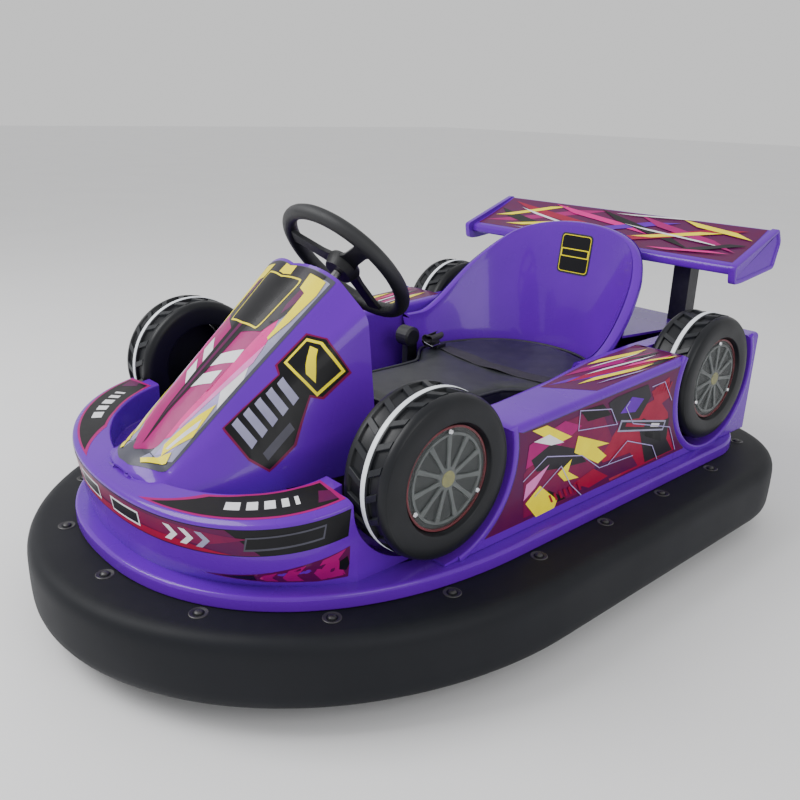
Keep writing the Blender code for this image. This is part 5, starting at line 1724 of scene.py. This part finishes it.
def on_band(u, v):
    band, edge = nose_plan("band", u), nose_plan("edge", u)
    point = band.lerp(edge, 0.9 * v)
    low = nose_top(band.y) - BAND_HEIGHT
    return point.x, point.y, blend(low + 0.006, nose_top(edge.y) - 0.012, v)


def on_waist(u, v):
    foot, band = nose_plan("foot", u), nose_plan("band", u)
    point = foot.lerp(band, blend(0.12, 0.80, v))
    return point.x, point.y, blend(FOOT_Z + 0.006, nose_top(band.y) - BAND_HEIGHT - 0.015, v)


LEDGE_BARS = ((0.50, 0.060), (0.585, 0.045), (0.655, 0.045), (0.725, 0.030), (0.780, 0.018))


def chevron(u):
    back = [(u, 0.20), (u + 0.03, 0.50), (u, 0.78)]
    return back + [(u + 0.025, 0.78), (u + 0.055, 0.50), (u + 0.025, 0.20)]


def make_nose_stickers():
    ledge = both([
        ("magenta", [(0.16, 0.02), (0.40, -0.02), (0.70, -0.02), (0.955, 0.0), (0.955, 0.98),
            (0.84, 1.0), (0.60, 1.0), (0.42, 0.92), (0.30, 0.50)]),
        ("black", [(0.21, 0.08), (0.42, 0.06), (0.70, 0.05), (0.935, 0.06), (0.94, 0.88),
            (0.84, 0.93), (0.60, 0.93), (0.44, 0.84), (0.32, 0.46)]),
        ("plum", [(0.86, 0.20), (0.935, 0.12), (0.94, 0.50), (0.90, 0.62)]),
        *[
            ("white", [(u, 0.34), (u + 0.012, 0.66), (u + 0.012 + wide, 0.66), (u + wide, 0.34)])
            for u, wide in LEDGE_BARS
        ],
    ])
    lay("ledge_stickers", nose, on_ledge, ledge, cell=(0.02, 0.25))
    band = [("black", [(-0.955, 0), (-0.955, 1), (0.955, 1), (0.955, 0)])]
    band += [
        ("plum", [(-0.62, 0.03), (-0.50, 0.97), (0.50, 0.97), (0.62, 0.03)]),
        ("wine", [(-0.44, 0.34), (-0.36, 0.86), (-0.05, 0.90), (0.36, 0.86), (0.58, 0.66),
            (0.40, 0.30), (0.05, 0.42)]),
        ("crimson", [(-0.30, 0.05), (-0.10, 0.32), (0.30, 0.34), (0.52, 0.05)]),
    ]
    band += both([
        ("white", [(0.03, 0.22), (0.03, 0.78), (0.165, 0.78), (0.165, 0.22)]),
        ("black", [(0.036, 0.30), (0.036, 0.70), (0.159, 0.70), (0.159, 0.30)]),
        ("white", chevron(0.27)),
        ("white", chevron(0.33)),
        ("silver", chevron(0.39)),
        ("grey", [(0.56, 0.20), (0.57, 0.72), (0.86, 0.80), (0.855, 0.28)]),
        ("black", [(0.567, 0.28), (0.576, 0.66), (0.853, 0.73), (0.848, 0.35)]),
    ])
    lay("band_stickers", nose, on_band, band, cell=(0.02, 0.34))
    low = both([
        ("plum", [(0.44, 0.48), (0.62, 0.66), (0.80, 0.86), (0.965, 0.98), (0.965, 0.12),
            (0.86, 0.10), (0.68, 0.22), (0.54, 0.36)]),
        ("black", [(0.50, 0.49), (0.62, 0.62), (0.64, 0.32), (0.57, 0.38)]),
        ("magenta", [(0.655, 0.62), (0.70, 0.70), (0.69, 0.48), (0.72, 0.26), (0.67, 0.30),
            (0.645, 0.46)]),
        ("magenta", [(0.74, 0.74), (0.80, 0.82), (0.775, 0.52), (0.81, 0.20), (0.75, 0.24),
            (0.725, 0.48)]),
        ("magenta", [(0.86, 0.86), (0.95, 0.96), (0.92, 0.74), (0.955, 0.20), (0.87, 0.16),
            (0.835, 0.50)]),
        ("black", [(0.925, 0.66), (0.955, 0.74), (0.965, 0.50), (0.955, 0.34), (0.928, 0.42)]),
    ])
    lay("waist_stickers", nose, on_waist, low, cell=(0.02, 0.2))


make_nose_stickers()


# %% [markdown]
# The side panels fill the flat face between the two arches. Their outline follows both
# arches at an even distance. Large patches come first, then shards and hatching, and thin
# pale lines last.

# %% Shapes for the side panels
def stroke(path, width=0.0022):
    """One thin quad for each step of an open path."""
    quads = []
    for start, end in zip(path, path[1:]):
        start, end = Vector(start), Vector(end)
        along = (end - start).normalized() * width / 2
        across = Vector((-along.y, along.x))
        start, end = start - along, end + along
        corners = (start + across, start - across, end - across, end + across)
        quads.append([tuple(corner) for corner in corners])
    return quads


def panel_outline(margin):
    reach = ARCH_R + 0.017 + margin
    shape = []
    for i in range(17):
        a = math.radians(blend(-56, 13, i / 16))
        shape.append((FRONT_Y + reach * math.cos(a), HUB_Z + reach * math.sin(a)))
    for i in range(9):
        y = blend(-0.150, 0.405, i / 8)
        shape.append((y, read_table(y, POD_TOP) - 0.017 - margin))
    for i in range(17):
        a = math.radians(blend(159, 236, i / 16))
        shape.append((REAR_Y + reach * math.cos(a), HUB_Z + reach * math.sin(a)))
    return [(y, max(z, 0.245 + margin)) for y, z in shape]


PANEL_PATCHES = [
    ("crimson", [(0.17, 0.255), (0.12, 0.33), (0.20, 0.40), (0.33, 0.42), (0.385, 0.37),
        (0.40, 0.32), (0.44, 0.26)]),
    ("wine", [(-0.13, 0.26), (-0.14, 0.36), (-0.05, 0.44), (0.10, 0.45), (0.16, 0.36),
        (0.05, 0.26)]),
    ("magenta", [(-0.135, 0.37), (-0.13, 0.42), (-0.02, 0.445), (0.04, 0.42), (-0.05, 0.385)]),
    ("charcoal", [(-0.12, 0.385), (-0.06, 0.405), (0.03, 0.37), (0.07, 0.33), (-0.02, 0.34),
        (-0.10, 0.355)]),
    ("charcoal", [(0.13, 0.45), (0.16, 0.40), (0.26, 0.385), (0.30, 0.43), (0.28, 0.462),
        (0.16, 0.458)]),
    ("black", [(0.03, 0.455), (0.11, 0.452), (0.145, 0.42), (0.06, 0.425)]),
    ("charcoal", [(0.27, 0.35), (0.395, 0.355), (0.395, 0.30), (0.43, 0.262), (0.31, 0.262)]),
    ("plum", [(0.05, 0.262), (0.13, 0.31), (0.24, 0.305), (0.28, 0.262)]),
    ("crimson", [(0.30, 0.44), (0.37, 0.462), (0.385, 0.41), (0.33, 0.395)]),
    ("black", [(-0.10, 0.262), (-0.055, 0.30), (0.01, 0.262)]),
    ("rose", [(-0.135, 0.30), (-0.13, 0.335), (-0.06, 0.36), (-0.10, 0.32)]),
    ("crimson", [(0.03, 0.29), (0.10, 0.305), (0.16, 0.27), (0.09, 0.262)]),
    ("violet", [(0.18, 0.415), (0.22, 0.445), (0.27, 0.43), (0.24, 0.405)]),
    ("black", [(0.24, 0.37), (0.28, 0.38), (0.36, 0.335), (0.37, 0.30), (0.30, 0.33)]),
]
PANEL_SHARDS = [
    ("yellow", [(-0.125, 0.449), (-0.080, 0.450), (0.008, 0.404), (-0.040, 0.400)]),
    ("yellow", [(0.030, 0.400), (0.150, 0.352), (0.102, 0.356), (0.144, 0.324), (0.114, 0.314),
        (0.022, 0.364)]),
    ("yellow", [(-0.128, 0.292), (-0.086, 0.320), (-0.022, 0.268), (-0.030, 0.252),
        (-0.090, 0.250)]),
    ("yellow", [(-0.030, 0.330), (0.015, 0.352), (0.006, 0.325), (0.046, 0.300), (-0.004, 0.306)]),
    ("white", [(-0.118, 0.424), (-0.070, 0.428), (-0.018, 0.398), (-0.060, 0.402)]),
    ("silver", [(0.176, 0.372), (0.186, 0.398), (0.380, 0.352), (0.372, 0.328)]),
    ("charcoal", [(0.184, 0.3745), (0.191, 0.392), (0.373, 0.3495), (0.368, 0.333)]),
    ("crimson", [(0.205, 0.378), (0.209, 0.386), (0.288, 0.366), (0.284, 0.358)]),
    ("white", [(0.312, 0.352), (0.316, 0.360), (0.352, 0.351), (0.348, 0.343)]),
]


def panel_shapes():
    shapes = [("grey", panel_outline(0.0)), ("plum", panel_outline(0.0016))]
    shapes += PANEL_PATCHES + PANEL_SHARDS
    for k in range(7):
        y = -0.055 + 0.016 * k
        mark = [(y, 0.288), (y + 0.007, 0.288), (y + 0.019, 0.268), (y + 0.012, 0.268)]
        shapes.append(("crimson", mark))
    for k in range(6):
        y = 0.315 + 0.013 * k
        mark = [(y, 0.448), (y + 0.005, 0.448), (y - 0.006, 0.428), (y - 0.011, 0.428)]
        shapes.append(("crimson", mark))
    lines = [
        [(0.028, 0.456), (0.142, 0.434), (0.172, 0.392), (0.028, 0.412), (0.028, 0.456)],
        [(0.212, 0.436), (0.200, 0.424), (0.236, 0.378), (0.400, 0.330), (0.440, 0.262)],
        [(0.300, 0.452), (0.350, 0.454), (0.392, 0.400)],
        [(-0.140, 0.345), (-0.070, 0.380), (0.050, 0.350), (0.120, 0.302), (0.250, 0.296)],
        [(-0.100, 0.300), (-0.020, 0.345), (0.020, 0.290), (0.060, 0.255)],
        [(0.150, 0.300), (0.220, 0.340), (0.330, 0.300), (0.360, 0.258)],
    ]
    for path in lines:
        shapes += [("lavender", quad) for quad in stroke(path)]
    return shapes


def on_pod_side(side):
    return lambda u, v: (side * POD_OUT_X, u, v)


for side in (1, -1):
    title = "side_panel_" + hand(side)
    lay(title, pods[side], on_pod_side(side), panel_shapes(), cell=(0.05, 0.03))


# %% [markdown]
# The tops of the pods and of the wing carry long pointed slashes. They all run one way, so
# each is written as a start, an end and a width, and one helper gives it sharp ends.

# %% Slashes
def slash(start, end, width, lean=0.25):
    start, end = Vector(start), Vector(end)
    across = Vector((end.y - start.y, start.x - end.x)).normalized() * width
    near = start.lerp(end, 0.5 - lean) + across
    far = start.lerp(end, 0.5 + lean) - across
    return [tuple(start), tuple(near), tuple(end), tuple(far)]


POD_SLASHES = [
    ("violet", (0.05, 0.385), (0.36, 0.470), 0.014),
    ("crimson", (0.09, 0.400), (0.405, 0.455), 0.016),
    ("magenta", (0.12, 0.372), (0.41, 0.415), 0.015),
    ("black", (0.15, 0.440), (0.42, 0.470), 0.010),
    ("yellow", (0.10, 0.425), (0.34, 0.462), 0.010),
    ("yellow", (0.22, 0.362), (0.42, 0.392), 0.011),
    ("white", (0.16, 0.400), (0.40, 0.432), 0.005),
    ("pink", (0.26, 0.430), (0.425, 0.458), 0.008),
    ("white", (0.20, 0.378), (0.39, 0.398), 0.003),
    ("charcoal", (0.30, 0.405), (0.425, 0.425), 0.008),
    ("yellow", (0.33, 0.440), (0.425, 0.470), 0.006),
    ("lavender", (0.13, 0.452), (0.30, 0.474), 0.003),
]


def on_pod_top(side):
    return lambda u, v: (side * v, u, read_table(u, POD_TOP))


for side in (1, -1):
    base = [(0.03, 0.380), (0.10, 0.476), (0.44, 0.476), (0.44, 0.352), (0.24, 0.352)]
    shapes = [("plum", base)] + [(c, slash(a, b, w)) for c, a, b, w in POD_SLASHES]
    title = "pod_top_stickers_" + hand(side)
    lay(title, pods[side], on_pod_top(side), shapes, cell=(0.05, 0.03))

# %% Wing top
WING_SLASHES = [
    ("magenta", (-0.430, 0.72), (-0.05, 0.855), 0.020),
    ("crimson", (-0.41, 0.845), (0.02, 0.74), 0.018),
    ("black", (-0.43, 0.80), (-0.16, 0.70), 0.020),
    ("yellow", (-0.42, 0.755), (-0.20, 0.850), 0.013),
    ("yellow", (-0.34, 0.715), (-0.10, 0.775), 0.012),
    ("white", (-0.36, 0.815), (-0.06, 0.735), 0.006),
    ("pink", (-0.25, 0.855), (0.14, 0.765), 0.014),
    ("violet", (-0.16, 0.712), (0.20, 0.838), 0.018),
    ("black", (-0.08, 0.858), (0.30, 0.720), 0.015),
    ("crimson", (0.02, 0.715), (0.40, 0.840), 0.020),
    ("magenta", (0.06, 0.852), (0.42, 0.735), 0.016),
    ("yellow", (0.10, 0.745), (0.34, 0.815), 0.012),
    ("yellow", (0.20, 0.855), (0.43, 0.800), 0.012),
    ("white", (0.04, 0.800), (0.38, 0.752), 0.005),
    ("charcoal", (0.26, 0.712), (0.43, 0.775), 0.013),
    ("white", (-0.02, 0.845), (0.24, 0.858), 0.004),
    ("lavender", (-0.30, 0.70), (0.06, 0.722), 0.004),
    ("pink", (0.18, 0.702), (0.41, 0.725), 0.007),
]
wing_field = [(-0.437, 0.694), (-0.437, 0.861), (0.437, 0.861), (0.437, 0.694)]
wing_shapes = [("plum", wing_field)] + [(c, slash(a, b, w)) for c, a, b, w in WING_SLASHES]
lay("wing_stickers", wing, lambda u, v: (u, v, wing_z(v)), wing_shapes, cell=(0.10, 0.012))
print("stickers on the pods and the wing")
